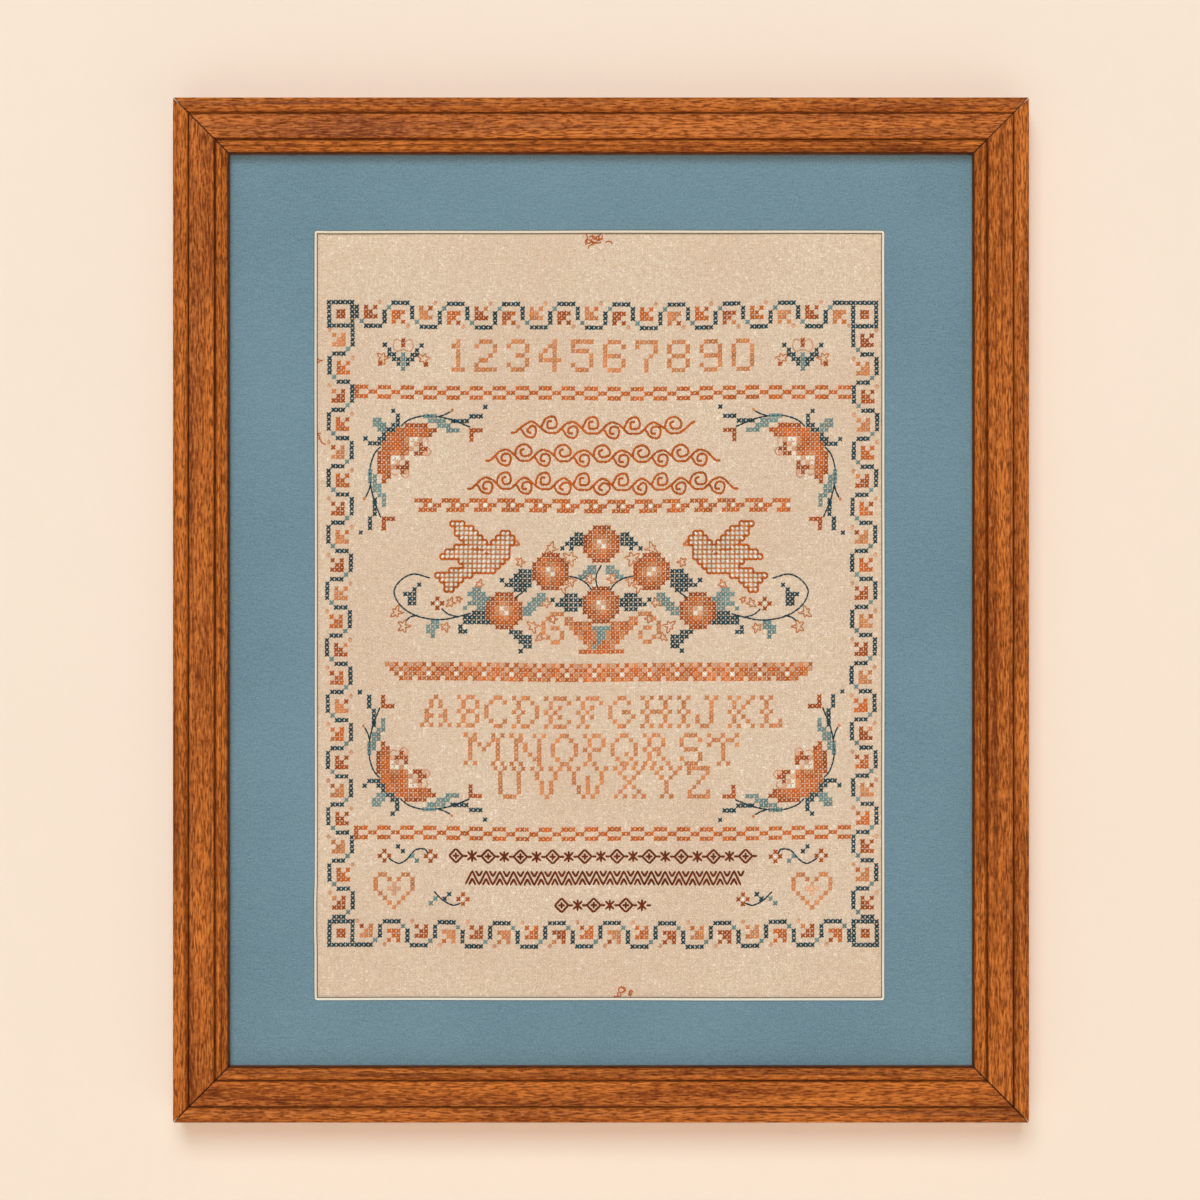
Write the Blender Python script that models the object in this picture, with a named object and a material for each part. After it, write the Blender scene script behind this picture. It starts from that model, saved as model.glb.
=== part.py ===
"""Framed cross stitch sampler.

A linen sampler cloth is held flat between a bevelled window mat and a backing board, in a
mitred oak frame. Eight framer's points keep the stack in the frame's rabbet, and a sawtooth
hanger with two nails carries it.

Metres, +Z up. The front faces -Y. The origin is the middle of the hanger's raised strip, on
the plane y = 0 where the hanger meets a wall. Every neighbour is kept one FIT_GAP away.
"""
import math

import bmesh
import bpy
from mathutils import Matrix, Vector

MM = 0.001
FIT_GAP = 0.3 * MM

# Oak frame: outside size, moulding and the rabbet that holds the flat stack
FRAME_WIDTH = 339.0 * MM
FRAME_HEIGHT = 406.0 * MM
MOULDING_WIDTH = 21.8 * MM
RABBET_WIDTH = 6.35 * MM
RABBET_DEPTH = 10.0 * MM
WALL_STANDOFF = 3.0 * MM

# Moulding section, from its outer back edge, in millimetres. One row for each corner: how far
# it is across the stick, how high above the back, how much the run to the next corner arches
# (0 is straight, below 0 is hollow) and how many straight steps that run takes.
MOULDING_FACE = (
    # across, height, arch, steps
    (0.0, 17.2, 1.8, 12),    # outer bead
    (5.6, 17.2, 0.0, 1),     # into the outer groove
    (6.0, 16.3, 0.0, 1),     # out of the outer groove
    (6.4, 16.9, -0.2, 4),    # broad field, slightly hollow
    (15.4, 17.9, 0.15, 3),   # rounded edge of the field
    (16.1, 17.4, 0.0, 1),    # into the inner groove
    (16.5, 16.7, 0.0, 1),    # out of the inner groove
    (16.9, 17.1, 0.9, 8),    # inner bead
    (19.3, 17.0, 0.25, 4),   # slope down to the sight edge
    (21.8, 15.2, 0.0, 1),    # sight edge
)

# Flat stack in the rabbet, front to back
STACK_CLEARANCE = 0.5 * MM
MAT_THICKNESS = 1.4 * MM
MAT_WINDOW_WIDTH = 226.9 * MM
MAT_WINDOW_HEIGHT = 306.5 * MM
MAT_WINDOW_DROP = 2.2 * MM
MAT_WINDOW_SHIFT = -0.6 * MM
MAT_BEVEL = 1.1 * MM
CLOTH_THICKNESS = 1.0 * MM
CLOTH_WIDTH = 275.0 * MM
CLOTH_HEIGHT = 354.0 * MM
BOARD_THICKNESS = 3.0 * MM

# Framer's points: house-shaped steel plates pushed into the rabbet wall
POINT_WIDTH = 9.0 * MM
POINT_BODY = 10.0 * MM
POINT_TIP = 4.0 * MM
POINT_THICKNESS = 0.6 * MM
POINTS_APART_ACROSS = 140.0 * MM
POINTS_APART_DOWN = 190.0 * MM

# Sawtooth hanger and its nails
HANGER_LENGTH = 44.0 * MM
HANGER_HEIGHT = 9.0 * MM
HANGER_THICKNESS = 0.8 * MM
HANGER_TAB = 8.0 * MM
HANGER_STEP = 2.0 * MM
HANGER_CORNER = 2.0 * MM
TOOTH_COUNT = 8
TOOTH_DEPTH = 1.6 * MM
NAIL_SHANK_RADIUS = 0.65 * MM
NAIL_HEAD_RADIUS = 1.6 * MM
NAIL_HEAD_THICKNESS = 0.8 * MM
NAIL_LENGTH = 8.0 * MM
NAIL_SIDES = 12

# Places worked out from the sizes above
LAND_WIDTH = MOULDING_WIDTH - RABBET_WIDTH
BACK_Y = -WALL_STANDOFF
TOP_Z = LAND_WIDTH / 2
BOTTOM_Z = TOP_Z - FRAME_HEIGHT
CENTRE_Z = TOP_Z - FRAME_HEIGHT / 2
SIDE_X = FRAME_WIDTH / 2
STACK_WIDTH = FRAME_WIDTH - 2 * LAND_WIDTH - 2 * STACK_CLEARANCE
STACK_HEIGHT = FRAME_HEIGHT - 2 * LAND_WIDTH - 2 * STACK_CLEARANCE
MAT_FRONT = RABBET_DEPTH - FIT_GAP
CLOTH_FRONT = MAT_FRONT - MAT_THICKNESS - FIT_GAP
BOARD_FRONT = CLOTH_FRONT - CLOTH_THICKNESS - FIT_GAP
POINT_FRONT = BOARD_FRONT - BOARD_THICKNESS - FIT_GAP
NAIL_X = HANGER_LENGTH / 2 - HANGER_TAB / 2
HANGER_RAISE = WALL_STANDOFF - FIT_GAP - HANGER_THICKNESS

# The four sticks: the bottom one is turned by 0, and each next one a quarter turn about Y
STICKS = (
    # name, quarter turns, length, x and z of its outer edge's middle, points apart
    ("frame_bottom", 0, FRAME_WIDTH, 0.0, BOTTOM_Z, POINTS_APART_ACROSS),
    ("frame_left", 1, FRAME_HEIGHT, -SIDE_X, CENTRE_Z, POINTS_APART_DOWN),
    ("frame_top", 2, FRAME_WIDTH, 0.0, TOP_Z, POINTS_APART_ACROSS),
    ("frame_right", 3, FRAME_HEIGHT, SIDE_X, CENTRE_Z, POINTS_APART_DOWN),
)


def clear_objects():
    """Remove whatever the opened file holds."""
    for obj in list(bpy.data.objects):
        bpy.data.objects.remove(obj, do_unlink=True)


def make_material(name, colour, roughness, metallic=0.0):
    """One Principled material."""
    material = bpy.data.materials.new(name)
    material.use_nodes = True
    shader = material.node_tree.nodes["Principled BSDF"]
    shader.inputs["Base Color"].default_value = (*colour, 1.0)
    shader.inputs["Roughness"].default_value = roughness
    shader.inputs["Metallic"].default_value = metallic
    return material


def add_object(name, bm, material=None):
    """Turn a bmesh into a linked object, with its faces pointing outwards."""
    bmesh.ops.recalc_face_normals(bm, faces=bm.faces[:])
    mesh = bpy.data.meshes.new(name)
    bm.to_mesh(mesh)
    bm.free()
    obj = bpy.data.objects.new(name, mesh)
    if material:
        mesh.materials.append(material)
    bpy.context.scene.collection.objects.link(obj)
    return obj


def add_box(bm, low, high):
    """A closed box between two corners."""
    low, high = Vector(low), Vector(high)
    size = high - low
    place = Matrix.Translation((low + high) / 2) @ Matrix.Diagonal((*size, 1.0))
    bmesh.ops.create_cube(bm, size=1.0, matrix=place)


def add_turned(bm, profile, sides, matrix):
    """A closed turned shape about local Z from (radius, z) rows; the first and last are poles."""
    poles = [bm.verts.new(matrix @ Vector((0.0, 0.0, z))) for _, z in (profile[0], profile[-1])]
    rings = []
    for radius, z in profile[1:-1]:
        ring = []
        for side in range(sides):
            angle = math.tau * side / sides
            ring.append(bm.verts.new(matrix @ Vector((radius * math.cos(angle),
                                                      radius * math.sin(angle), z))))
        rings.append(ring)
    for side in range(sides):
        after = (side + 1) % sides
        bm.faces.new((poles[0], rings[0][after], rings[0][side]))
        for upper, lower in zip(rings, rings[1:]):
            bm.faces.new((upper[side], upper[after], lower[after], lower[side]))
        bm.faces.new((poles[1], rings[-1][side], rings[-1][after]))


def bridge(bm, loop_a, loop_b):
    """Join two closed loops of as many corners with quads."""
    count = len(loop_a)
    for i in range(count):
        j = (i + 1) % count
        bm.faces.new((loop_a[i], loop_a[j], loop_b[j], loop_b[i]))


def arched_run(start, end, arch, steps):
    """Points of a circular run from start up to, but without, end; arch is its rise."""
    chord = end - start
    if steps == 1:
        return [start]
    half = chord.length / 2
    radius = (half * half + arch * arch) / (2 * abs(arch))
    up = Vector((-chord.y, chord.x)).normalized() * math.copysign(1.0, arch)
    centre = (start + end) / 2 + up * (abs(arch) - radius)
    half_angle = math.atan2(half, radius - abs(arch))
    along = chord.normalized()
    points = []
    for i in range(steps):
        angle = half_angle * (2 * i / steps - 1)
        points.append(centre + radius * (along * math.sin(angle) + up * math.cos(angle)))
    return points


def moulding_section():
    """The stick's closed section as (across, height) points in metres."""
    corners = [Vector((across, height)) * MM for across, height, _, _ in MOULDING_FACE]
    points = []
    for row, start, end in zip(MOULDING_FACE, corners, corners[1:]):
        points += arched_run(start, end, row[2] * MM, row[3])
    points.append(corners[-1])
    points.append(Vector((MOULDING_WIDTH, RABBET_DEPTH)))
    points.append(Vector((LAND_WIDTH, RABBET_DEPTH)))
    points.append(Vector((LAND_WIDTH, 0.0)))
    points.append(Vector((0.0, 0.0)))
    return points


def build_stick_mesh(length):
    """One mitred stick: local X along it, Y inwards from its outer edge, Z to the front."""
    setback = FIT_GAP / 2 * math.sqrt(2.0)
    bm = bmesh.new()
    ends = []
    for side in (-1, 1):
        loop = []
        for across, height in moulding_section():
            reach = length / 2 - across - setback
            loop.append(bm.verts.new((side * reach, across, height)))
        ends.append(loop)
    bridge(bm, *ends)
    bm.faces.new(ends[0])
    bm.faces.new(ends[1])
    return bm


def stick_matrix(turns, x, z):
    """From a stick's own axes to the world."""
    turn = Matrix.Rotation(math.radians(90 * turns), 4, "Y")
    return Matrix.Translation((x, BACK_Y, z)) @ turn @ Matrix.Rotation(math.radians(90), 4, "X")


def place(obj, matrix):
    """Set an object's location and rotation from a matrix."""
    obj.location = matrix.to_translation()
    obj.rotation_euler = matrix.to_euler()


def cut(obj, cutter_bm, matrix):
    """Take a hidden cutter away from an object."""
    cutter = add_object(obj.name + "_cutter", cutter_bm)
    cutter.hide_render = True
    cutter.display_type = "WIRE"
    place(cutter, matrix)
    modifier = obj.modifiers.new("pockets", "BOOLEAN")
    modifier.operation = "DIFFERENCE"
    modifier.solver = "EXACT"
    modifier.object = cutter


def build_stick(row, oak):
    """A stick with a pocket for each of its two points, and nail holes in the top one."""
    name, turns, length, x, z, apart = row
    matrix = stick_matrix(turns, x, z)
    stick = add_object(name, build_stick_mesh(length), oak)
    place(stick, matrix)
    cutter = bmesh.new()
    for side in (-1, 1):
        middle = side * apart / 2
        half = POINT_WIDTH / 2 + FIT_GAP
        add_box(cutter,
                (middle - half, LAND_WIDTH - POINT_TIP - FIT_GAP,
                 POINT_FRONT - POINT_THICKNESS - FIT_GAP),
                (middle + half, LAND_WIDTH + FIT_GAP, POINT_FRONT + FIT_GAP))
    if name == "frame_top":
        radius = NAIL_SHANK_RADIUS + FIT_GAP
        hole = ((0.0, -MM), (radius, -MM), (radius, NAIL_LENGTH), (0.0, NAIL_LENGTH))
        for side in (-1, 1):
            middle = Matrix.Translation((side * NAIL_X, LAND_WIDTH / 2, 0.0))
            add_turned(cutter, hole, NAIL_SIDES, middle)
    cut(stick, cutter, matrix)


def build_points(row, first_number, steel):
    """The two framer's points of one stick."""
    _, turns, _, x, z, apart = row
    half = POINT_WIDTH / 2
    outline = ((0.0, -POINT_TIP), (half, 0.0), (half, POINT_BODY), (-half, POINT_BODY), (-half, 0.0))
    for index, side in enumerate((-1, 1)):
        bm = bmesh.new()
        loops = []
        for height in (-POINT_THICKNESS, 0.0):
            loops.append([bm.verts.new((along, across, height)) for along, across in outline])
            bm.faces.new(loops[-1])
        bridge(bm, *loops)
        point = add_object(f"framer_point_{first_number + index}", bm, steel)
        shift = Matrix.Translation((side * apart / 2, LAND_WIDTH, POINT_FRONT))
        place(point, stick_matrix(turns, x, z) @ shift)


def build_mat(blue):
    """Window mat: one board whose window edge slopes in towards the cloth."""
    def rectangle(bm, width, height, shift, drop, level):
        corners = ((-1, -1), (1, -1), (1, 1), (-1, 1))
        return [bm.verts.new((width / 2 * sx + shift, -level, height / 2 * sz - drop))
                for sx, sz in corners]

    bm = bmesh.new()
    back = MAT_FRONT - MAT_THICKNESS
    back_width = MAT_WINDOW_WIDTH - 2 * MAT_BEVEL
    back_height = MAT_WINDOW_HEIGHT - 2 * MAT_BEVEL
    window_place = (MAT_WINDOW_SHIFT, MAT_WINDOW_DROP)
    outer_front = rectangle(bm, STACK_WIDTH, STACK_HEIGHT, 0.0, 0.0, MAT_FRONT)
    outer_back = rectangle(bm, STACK_WIDTH, STACK_HEIGHT, 0.0, 0.0, back)
    window_front = rectangle(bm, MAT_WINDOW_WIDTH, MAT_WINDOW_HEIGHT, *window_place, MAT_FRONT)
    window_back = rectangle(bm, back_width, back_height, *window_place, back)
    loops = (outer_front, window_front, window_back, outer_back, outer_front)
    for loop_a, loop_b in zip(loops, loops[1:]):
        bridge(bm, loop_a, loop_b)
    mat = add_object("mat_board", bm, blue)
    mat.location = (0.0, BACK_Y, CENTRE_Z)


def build_flat(name, width, height, front, thickness, drop, material):
    """A flat sheet or board in the stack."""
    bm = bmesh.new()
    add_box(bm, (-width / 2, -front, -height / 2), (width / 2, thickness - front, height / 2))
    sheet = add_object(name, bm, material)
    sheet.location = (0.0, BACK_Y, CENTRE_Z - drop)


def hanger_outline():
    """The hanger's edge as (x, z) corners, with teeth along the raised strip's lower edge."""
    end = HANGER_LENGTH / 2
    low = -HANGER_HEIGHT / 2
    strip = end - HANGER_TAB - HANGER_STEP
    pitch = 2 * strip / TOOTH_COUNT
    points = [(-end, low + HANGER_CORNER), (-end + HANGER_CORNER, low)]
    for tooth in range(TOOTH_COUNT):
        start = -strip + tooth * pitch
        points += [(start, low), (start + pitch / 2, low + TOOTH_DEPTH)]
    points += [(strip, low), (end - HANGER_CORNER, low), (end, low + HANGER_CORNER)]
    points += [(end, -low - HANGER_CORNER), (end - HANGER_CORNER, -low)]
    points += [(-end + HANGER_CORNER, -low), (-end, -low - HANGER_CORNER)]
    return points


def build_hanger(steel):
    """Sawtooth hanger: two flat tabs, nailed to the frame, and a raised toothed strip."""
    bm = bmesh.new()
    bm.faces.new([bm.verts.new((x, 0.0, z)) for x, z in hanger_outline()])
    tab_end = HANGER_LENGTH / 2 - HANGER_TAB
    strip_end = tab_end - HANGER_STEP
    for x in (-tab_end, -strip_end, strip_end, tab_end):
        everything = bm.verts[:] + bm.edges[:] + bm.faces[:]
        bmesh.ops.bisect_plane(bm, geom=everything, plane_co=(x, 0.0, 0.0), plane_no=(1.0, 0.0, 0.0))
    raised = bmesh.ops.extrude_face_region(bm, geom=bm.faces[:])
    front_verts = [item for item in raised["geom"] if isinstance(item, bmesh.types.BMVert)]
    bmesh.ops.translate(bm, verts=front_verts, vec=(0.0, -HANGER_THICKNESS, 0.0))
    for vert in bm.verts:
        share = (tab_end - abs(vert.co.x)) / HANGER_STEP
        vert.co.y -= HANGER_RAISE * (1.0 - min(max(share, 0.0), 1.0))
    hanger = add_object("sawtooth_hanger", bm, steel)
    cutter = bmesh.new()
    radius = NAIL_SHANK_RADIUS + FIT_GAP
    reach = WALL_STANDOFF + MM
    hole = ((0.0, -reach), (radius, -reach), (radius, reach), (0.0, reach))
    for side in (-1, 1):
        middle = Matrix.Translation((side * NAIL_X, 0.0, 0.0)) @ Matrix.Rotation(math.radians(90), 4, "X")
        add_turned(cutter, hole, NAIL_SIDES, middle)
    cut(hanger, cutter, Matrix.Identity(4))


def build_nails(steel):
    """A round-headed nail through each tab and into the top stick."""
    shank = NAIL_LENGTH - NAIL_HEAD_RADIUS
    profile = (
        (0.0, NAIL_HEAD_THICKNESS),
        (NAIL_HEAD_RADIUS * 0.7, NAIL_HEAD_THICKNESS),
        (NAIL_HEAD_RADIUS, NAIL_HEAD_THICKNESS / 2),
        (NAIL_HEAD_RADIUS, 0.0),
        (NAIL_SHANK_RADIUS, 0.0),
        (NAIL_SHANK_RADIUS, -shank),
        (0.0, -shank - NAIL_SHANK_RADIUS * 2),
    )
    head_y = BACK_Y + 2 * FIT_GAP + HANGER_THICKNESS
    for number, side in enumerate((-1, 1), start=1):
        bm = bmesh.new()
        add_turned(bm, profile, NAIL_SIDES, Matrix.Rotation(math.radians(-90), 4, "X"))
        nail = add_object(f"hanger_nail_{number}", bm, steel)
        nail.location = (side * NAIL_X, head_y, 0.0)


def main():
    """Build every piece of the framed sampler."""
    clear_objects()
    oak = make_material("stained_oak", (0.37, 0.12, 0.035), 0.45)
    blue = make_material("blue_mat_board", (0.18, 0.27, 0.31), 0.9)
    linen = make_material("linen", (0.70, 0.54, 0.39), 0.95)
    board = make_material("backing_board", (0.42, 0.30, 0.19), 0.85)
    steel = make_material("zinced_steel", (0.62, 0.61, 0.58), 0.35, 1.0)
    for number, row in enumerate(STICKS):
        build_stick(row, oak)
        build_points(row, 2 * number + 1, steel)
    build_mat(blue)
    build_flat("sampler_cloth", CLOTH_WIDTH, CLOTH_HEIGHT, CLOTH_FRONT, CLOTH_THICKNESS,
               MAT_WINDOW_DROP, linen)
    build_flat("backing_board", STACK_WIDTH, STACK_HEIGHT, BOARD_FRONT, BOARD_THICKNESS, 0.0, board)
    build_hanger(steel)
    build_nails(steel)


main()
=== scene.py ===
# %% [markdown]
# # A framed cross stitch sampler
#
# A linen cloth worked with cross stitch sits behind a blue window mat in a mitred oak frame.
# The construction is already fixed: its solids come packed as a frame of named nodes, in
# metres, with +Z up, the stitched face towards -Y and the origin at the hanger on the back.
# This lesson gives each visible surface its shape and finish. Places are read from the nodes
# and not typed in, so a change of size in the construction carries through to every stitch.

# %% Load the construction
import math
import random

import bmesh
import bpy
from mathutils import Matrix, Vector


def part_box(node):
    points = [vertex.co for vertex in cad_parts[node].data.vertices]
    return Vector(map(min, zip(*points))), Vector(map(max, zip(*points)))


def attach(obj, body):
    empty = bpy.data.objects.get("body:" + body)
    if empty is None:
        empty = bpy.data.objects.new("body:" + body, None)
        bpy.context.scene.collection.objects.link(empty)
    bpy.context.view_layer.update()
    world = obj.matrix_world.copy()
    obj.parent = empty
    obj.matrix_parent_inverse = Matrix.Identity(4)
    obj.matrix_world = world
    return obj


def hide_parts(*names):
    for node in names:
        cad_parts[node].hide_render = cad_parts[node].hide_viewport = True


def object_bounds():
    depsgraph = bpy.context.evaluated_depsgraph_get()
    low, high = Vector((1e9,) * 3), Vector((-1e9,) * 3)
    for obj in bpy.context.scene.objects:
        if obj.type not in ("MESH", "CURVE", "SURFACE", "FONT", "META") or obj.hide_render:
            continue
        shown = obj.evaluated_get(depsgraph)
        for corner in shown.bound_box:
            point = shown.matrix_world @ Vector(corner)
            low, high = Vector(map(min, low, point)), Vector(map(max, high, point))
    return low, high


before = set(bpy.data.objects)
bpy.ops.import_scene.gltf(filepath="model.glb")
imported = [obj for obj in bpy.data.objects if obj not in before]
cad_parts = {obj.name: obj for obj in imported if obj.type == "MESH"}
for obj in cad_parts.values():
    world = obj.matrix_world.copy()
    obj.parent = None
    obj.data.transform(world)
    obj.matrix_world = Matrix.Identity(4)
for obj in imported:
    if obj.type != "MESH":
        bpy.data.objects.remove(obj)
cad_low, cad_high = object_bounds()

MM = 0.001
print("nodes:", ", ".join(sorted(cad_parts)))
print("outer size in mm:", [round(side / MM, 1) for side in cad_high - cad_low])

# %% [markdown]
# ## Camera
# The frame is looked at straight on, a little above its middle, from about an arm and a half
# away. A long lens keeps the four sticks alike in width, as on a frame hung at eye level. The
# lens length follows from how wide a strip of wall the view takes in at the frame's face, so
# it is worked out instead of guessed.

# %% Camera
CAMERA_AWAY = 1400.0 * MM
VIEW_WIDTH = 474.8 * MM
SENSOR_WIDTH = 36.0
EYE_X = -0.4 * MM
EYE_Z = -191.3 * MM
FACE_Y = cad_low.y

camera_data = bpy.data.cameras.new("camera")
camera_data.sensor_width = SENSOR_WIDTH
camera_data.lens = SENSOR_WIDTH * CAMERA_AWAY / VIEW_WIDTH
camera = bpy.data.objects.new("camera", camera_data)
camera.location = (EYE_X, FACE_Y - CAMERA_AWAY, EYE_Z)
camera.rotation_euler = (math.radians(90.0), 0.0, 0.0)
bpy.context.scene.collection.objects.link(camera)
bpy.context.scene.camera = camera
print("lens:", round(camera_data.lens, 1), "mm")

# %% [markdown]
# ## Light
# The room light is soft. A wide cool light from above and a little from the left makes the
# beads brighter on their upper and left halves and throws a short soft shadow below the frame.
# A smaller warm light straight ahead fills that shadow, so it turns warm, and a third one
# lights the back. The room itself adds little light but looks pale where the camera sees it.
# The standard view transform keeps the dyed thread colours as they were mixed.

# %% Lights and sky
SOFTBOXES = (
    # name, place, size, power, colour
    ("key_light", (-0.30, -3.7, 1.75), 2.0, 103.0, (0.74, 0.90, 0.99)),
    ("front_light", (-0.1, -4.8, -0.1), 1.3, 99.0, (1.0, 0.80, 0.65)),
    ("back_light", (1.3, 3.2, 1.6), 1.8, 135.0, (1.0, 1.0, 1.0)),
)
SKY_COLOUR = (1.0, 0.90, 0.80, 1.0)
SKY_STRENGTH = 0.05
SKY_SEEN = 0.80


def add_softbox(name, place, size, power, colour):
    """A square area light that looks at the middle of the frame."""
    data = bpy.data.lights.new(name, "AREA")
    data.shape = "SQUARE"
    data.size = size
    data.energy = power
    data.color = colour
    light = bpy.data.objects.new(name, data)
    middle = (cad_low + cad_high) / 2
    light.location = place
    light.rotation_euler = (middle - Vector(place)).to_track_quat("-Z", "Y").to_euler()
    bpy.context.scene.collection.objects.link(light)


for softbox in SOFTBOXES:
    add_softbox(*softbox)


def make_room():
    """Dim warm light from all round, in a room that looks pale to the camera."""
    world = bpy.data.worlds.new("room")
    world.use_nodes = True
    tree = world.node_tree
    glow = tree.nodes["Background"]
    glow.inputs["Color"].default_value = SKY_COLOUR
    strength = tree.nodes.new("ShaderNodeMapRange")
    strength.inputs["To Min"].default_value = SKY_STRENGTH
    strength.inputs["To Max"].default_value = SKY_SEEN
    seen = tree.nodes.new("ShaderNodeLightPath")
    tree.links.new(seen.outputs["Is Camera Ray"], strength.inputs["Value"])
    tree.links.new(strength.outputs["Result"], glow.inputs["Strength"])
    return world


bpy.context.scene.world = make_room()
bpy.context.scene.view_settings.view_transform = "Standard"

# %% [markdown]
# ## A short way to write node maths
# Materials and Geometry Nodes are both webs of nodes. Adding each Math node by hand hides the
# idea behind a dozen lines, so one small class wraps a socket and turns `a * b + 1` into the
# nodes that it stands for. One method makes any other node: its settings go in first, because
# they decide which sockets it has, and then its values and links.

# %% Node helper classes
def find_socket(sockets, key):
    """The socket of that number, or the first one in use with that name."""
    if isinstance(key, int):
        return sockets[key]
    return next(socket for socket in sockets if socket.name == key and socket.enabled)


class Wire:
    """A value on its way through a node tree. Sums made with it add Math nodes."""

    def __init__(self, sheet, socket):
        self.sheet = sheet
        self.socket = socket

    def output(self, key):
        """Another output of the same node."""
        return Wire(self.sheet, find_socket(self.socket.node.outputs, key))

    def maths(self, operation, other=0.0, swapped=False):
        """One Math node on this value and another."""
        first, second = (other, self) if swapped else (self, other)
        return self.sheet.node("ShaderNodeMath", {"operation": operation}, {0: first, 1: second})

    def __add__(self, other):
        return self.maths("ADD", other)

    __radd__ = __add__

    def __sub__(self, other):
        return self.maths("SUBTRACT", other)

    def __rsub__(self, other):
        return self.maths("SUBTRACT", other, swapped=True)

    def __mul__(self, other):
        return self.maths("MULTIPLY", other)

    def __abs__(self):
        return self.maths("ABSOLUTE")

    def wave(self):
        """The sine of pi times this value."""
        return (self * math.pi).maths("SINE")

    def between(self, low, high):
        """0 below low, 1 above high, with a soft step between."""
        settings = {"interpolation_type": "SMOOTHSTEP"}
        inputs = {"Value": self, "From Min": low, "From Max": high}
        return self.sheet.node("ShaderNodeMapRange", settings, inputs)


class NodeSheet:
    """A node tree, and one method that adds any node to it."""

    def __init__(self, tree):
        self.tree = tree

    def node(self, kind, settings=None, inputs=None, output=None):
        """Add a node, set it up, feed its sockets and give back one output."""
        made = self.tree.nodes.new(kind)
        for name, value in (settings or {}).items():
            setattr(made, name, value)
        for key, value in (inputs or {}).items():
            target = find_socket(made.inputs, key)
            if isinstance(value, Wire):
                self.tree.links.new(value.socket, target)
            else:
                target.default_value = value
        if not made.outputs:
            return None
        enabled = [socket for socket in made.outputs if socket.enabled]
        return Wire(self, enabled[0] if output is None else find_socket(made.outputs, output))


print("node helpers ready")

# %% [markdown]
# ## Helpers for finishes
# A finish here is one Principled shader with a few patterns behind it. Colours are written the
# way a dye chart gives them, from 0 to 255, and turned into the linear values that the shader
# works with. Anything that is the same all over is set on the shader's own socket, and only
# what changes over the surface is linked.

# %% Finish class
SRGB_KNEE = 0.04045
SRGB_SLOPE = 12.92
SRGB_LIFT = 0.055
SRGB_GAMMA = 2.4


def dye(red, green, blue):
    """A colour of 0 to 255 steps as the linear colour that a shader reads."""
    linear = []
    for step in (red, green, blue):
        share = step / 255
        if share <= SRGB_KNEE:
            linear.append(share / SRGB_SLOPE)
        else:
            linear.append(((share + SRGB_LIFT) / (1 + SRGB_LIFT)) ** SRGB_GAMMA)
    return (*linear, 1.0)


class Finish(NodeSheet):
    """A material with one Principled shader, and the patterns that feed it."""

    def __init__(self, name, constants):
        self.material = bpy.data.materials.new(name)
        self.material.use_nodes = True
        super().__init__(self.material.node_tree)
        self.shader = self.tree.nodes["Principled BSDF"]
        for socket, value in constants.items():
            self.shader.inputs[socket].default_value = value

    def feed(self, socket, wire):
        """Link a pattern to one of the shader's sockets."""
        self.tree.links.new(wire.socket, self.shader.inputs[socket])

    def place(self, which="Object"):
        """Object coordinates in metres, or the piece's own UV map."""
        return self.node("ShaderNodeTexCoord", output=which)

    def attribute(self, name):
        """A number painted on the piece's points."""
        return self.node("ShaderNodeAttribute", {"attribute_name": name}, output="Fac")

    def stretch(self, vector, scales):
        """Coordinates multiplied by a number for each axis."""
        return self.node("ShaderNodeVectorMath", {"operation": "MULTIPLY"}, {0: vector, 1: scales})

    def axis(self, vector, name):
        """One part, X, Y or Z, of a vector."""
        return self.node("ShaderNodeSeparateXYZ", None, {"Vector": vector}, output=name)

    def noise(self, vector, scale=1.0, detail=2.0, roughness=0.5, distortion=0.0):
        """Soft random patches from 0 to 1."""
        inputs = {"Vector": vector, "Scale": scale, "Detail": detail,
                  "Roughness": roughness, "Distortion": distortion}
        return self.node("ShaderNodeTexNoise", None, inputs)

    def mix(self, share, first, second):
        """Two colours mixed."""
        inputs = {"Factor": share, "A": first, "B": second}
        return self.node("ShaderNodeMix", {"data_type": "RGBA"}, inputs, output="Result")

    def relief(self, height, distance, strength):
        """Bump of that many metres, on the shader's Normal."""
        inputs = {"Height": height, "Distance": distance, "Strength": strength}
        self.feed("Normal", self.node("ShaderNodeBump", None, inputs))


print("dye of mid grey:", [round(part, 3) for part in dye(128, 128, 128)])

# %% [markdown]
# ## Helpers for pieces
# Every piece is a mesh whose points are already where they belong, on an object that stays at
# the origin. A piece then rides on the one body of this part, and may stand for a plain solid
# of the construction. Sticks, mat and stitches are all skins over a row of rings with the same
# number of points, so one function joins them.

# %% Piece helpers
SMOOTH_ANGLE = math.radians(38.0)


def link_object(name, data):
    """A new object at the origin, linked to the scene."""
    made = bpy.data.objects.new(name, data)
    bpy.context.scene.collection.objects.link(made)
    return made


def add_piece(name, bm, materials, smooth=True):
    """Turn a bmesh into a linked object."""
    mesh = bpy.data.meshes.new(name)
    bm.to_mesh(mesh)
    bm.free()
    for material in materials:
        mesh.materials.append(material)
    if smooth:
        mesh.shade_smooth()
        mesh.set_sharp_from_angle(angle=SMOOTH_ANGLE)
    return link_object(name, mesh)


def join_rings(bm, rings, closed=False):
    """Quads between neighbouring rings, given back with their ring and place on it."""
    count = len(rings[0])
    following = rings[1:] + (rings[:1] if closed else [])
    for number, (ring, after) in enumerate(zip(rings, following)):
        for index in range(count):
            beside = (index + 1) % count
            face = bm.faces.new((ring[index], ring[beside], after[beside], after[index]))
            yield face, number, index


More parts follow.
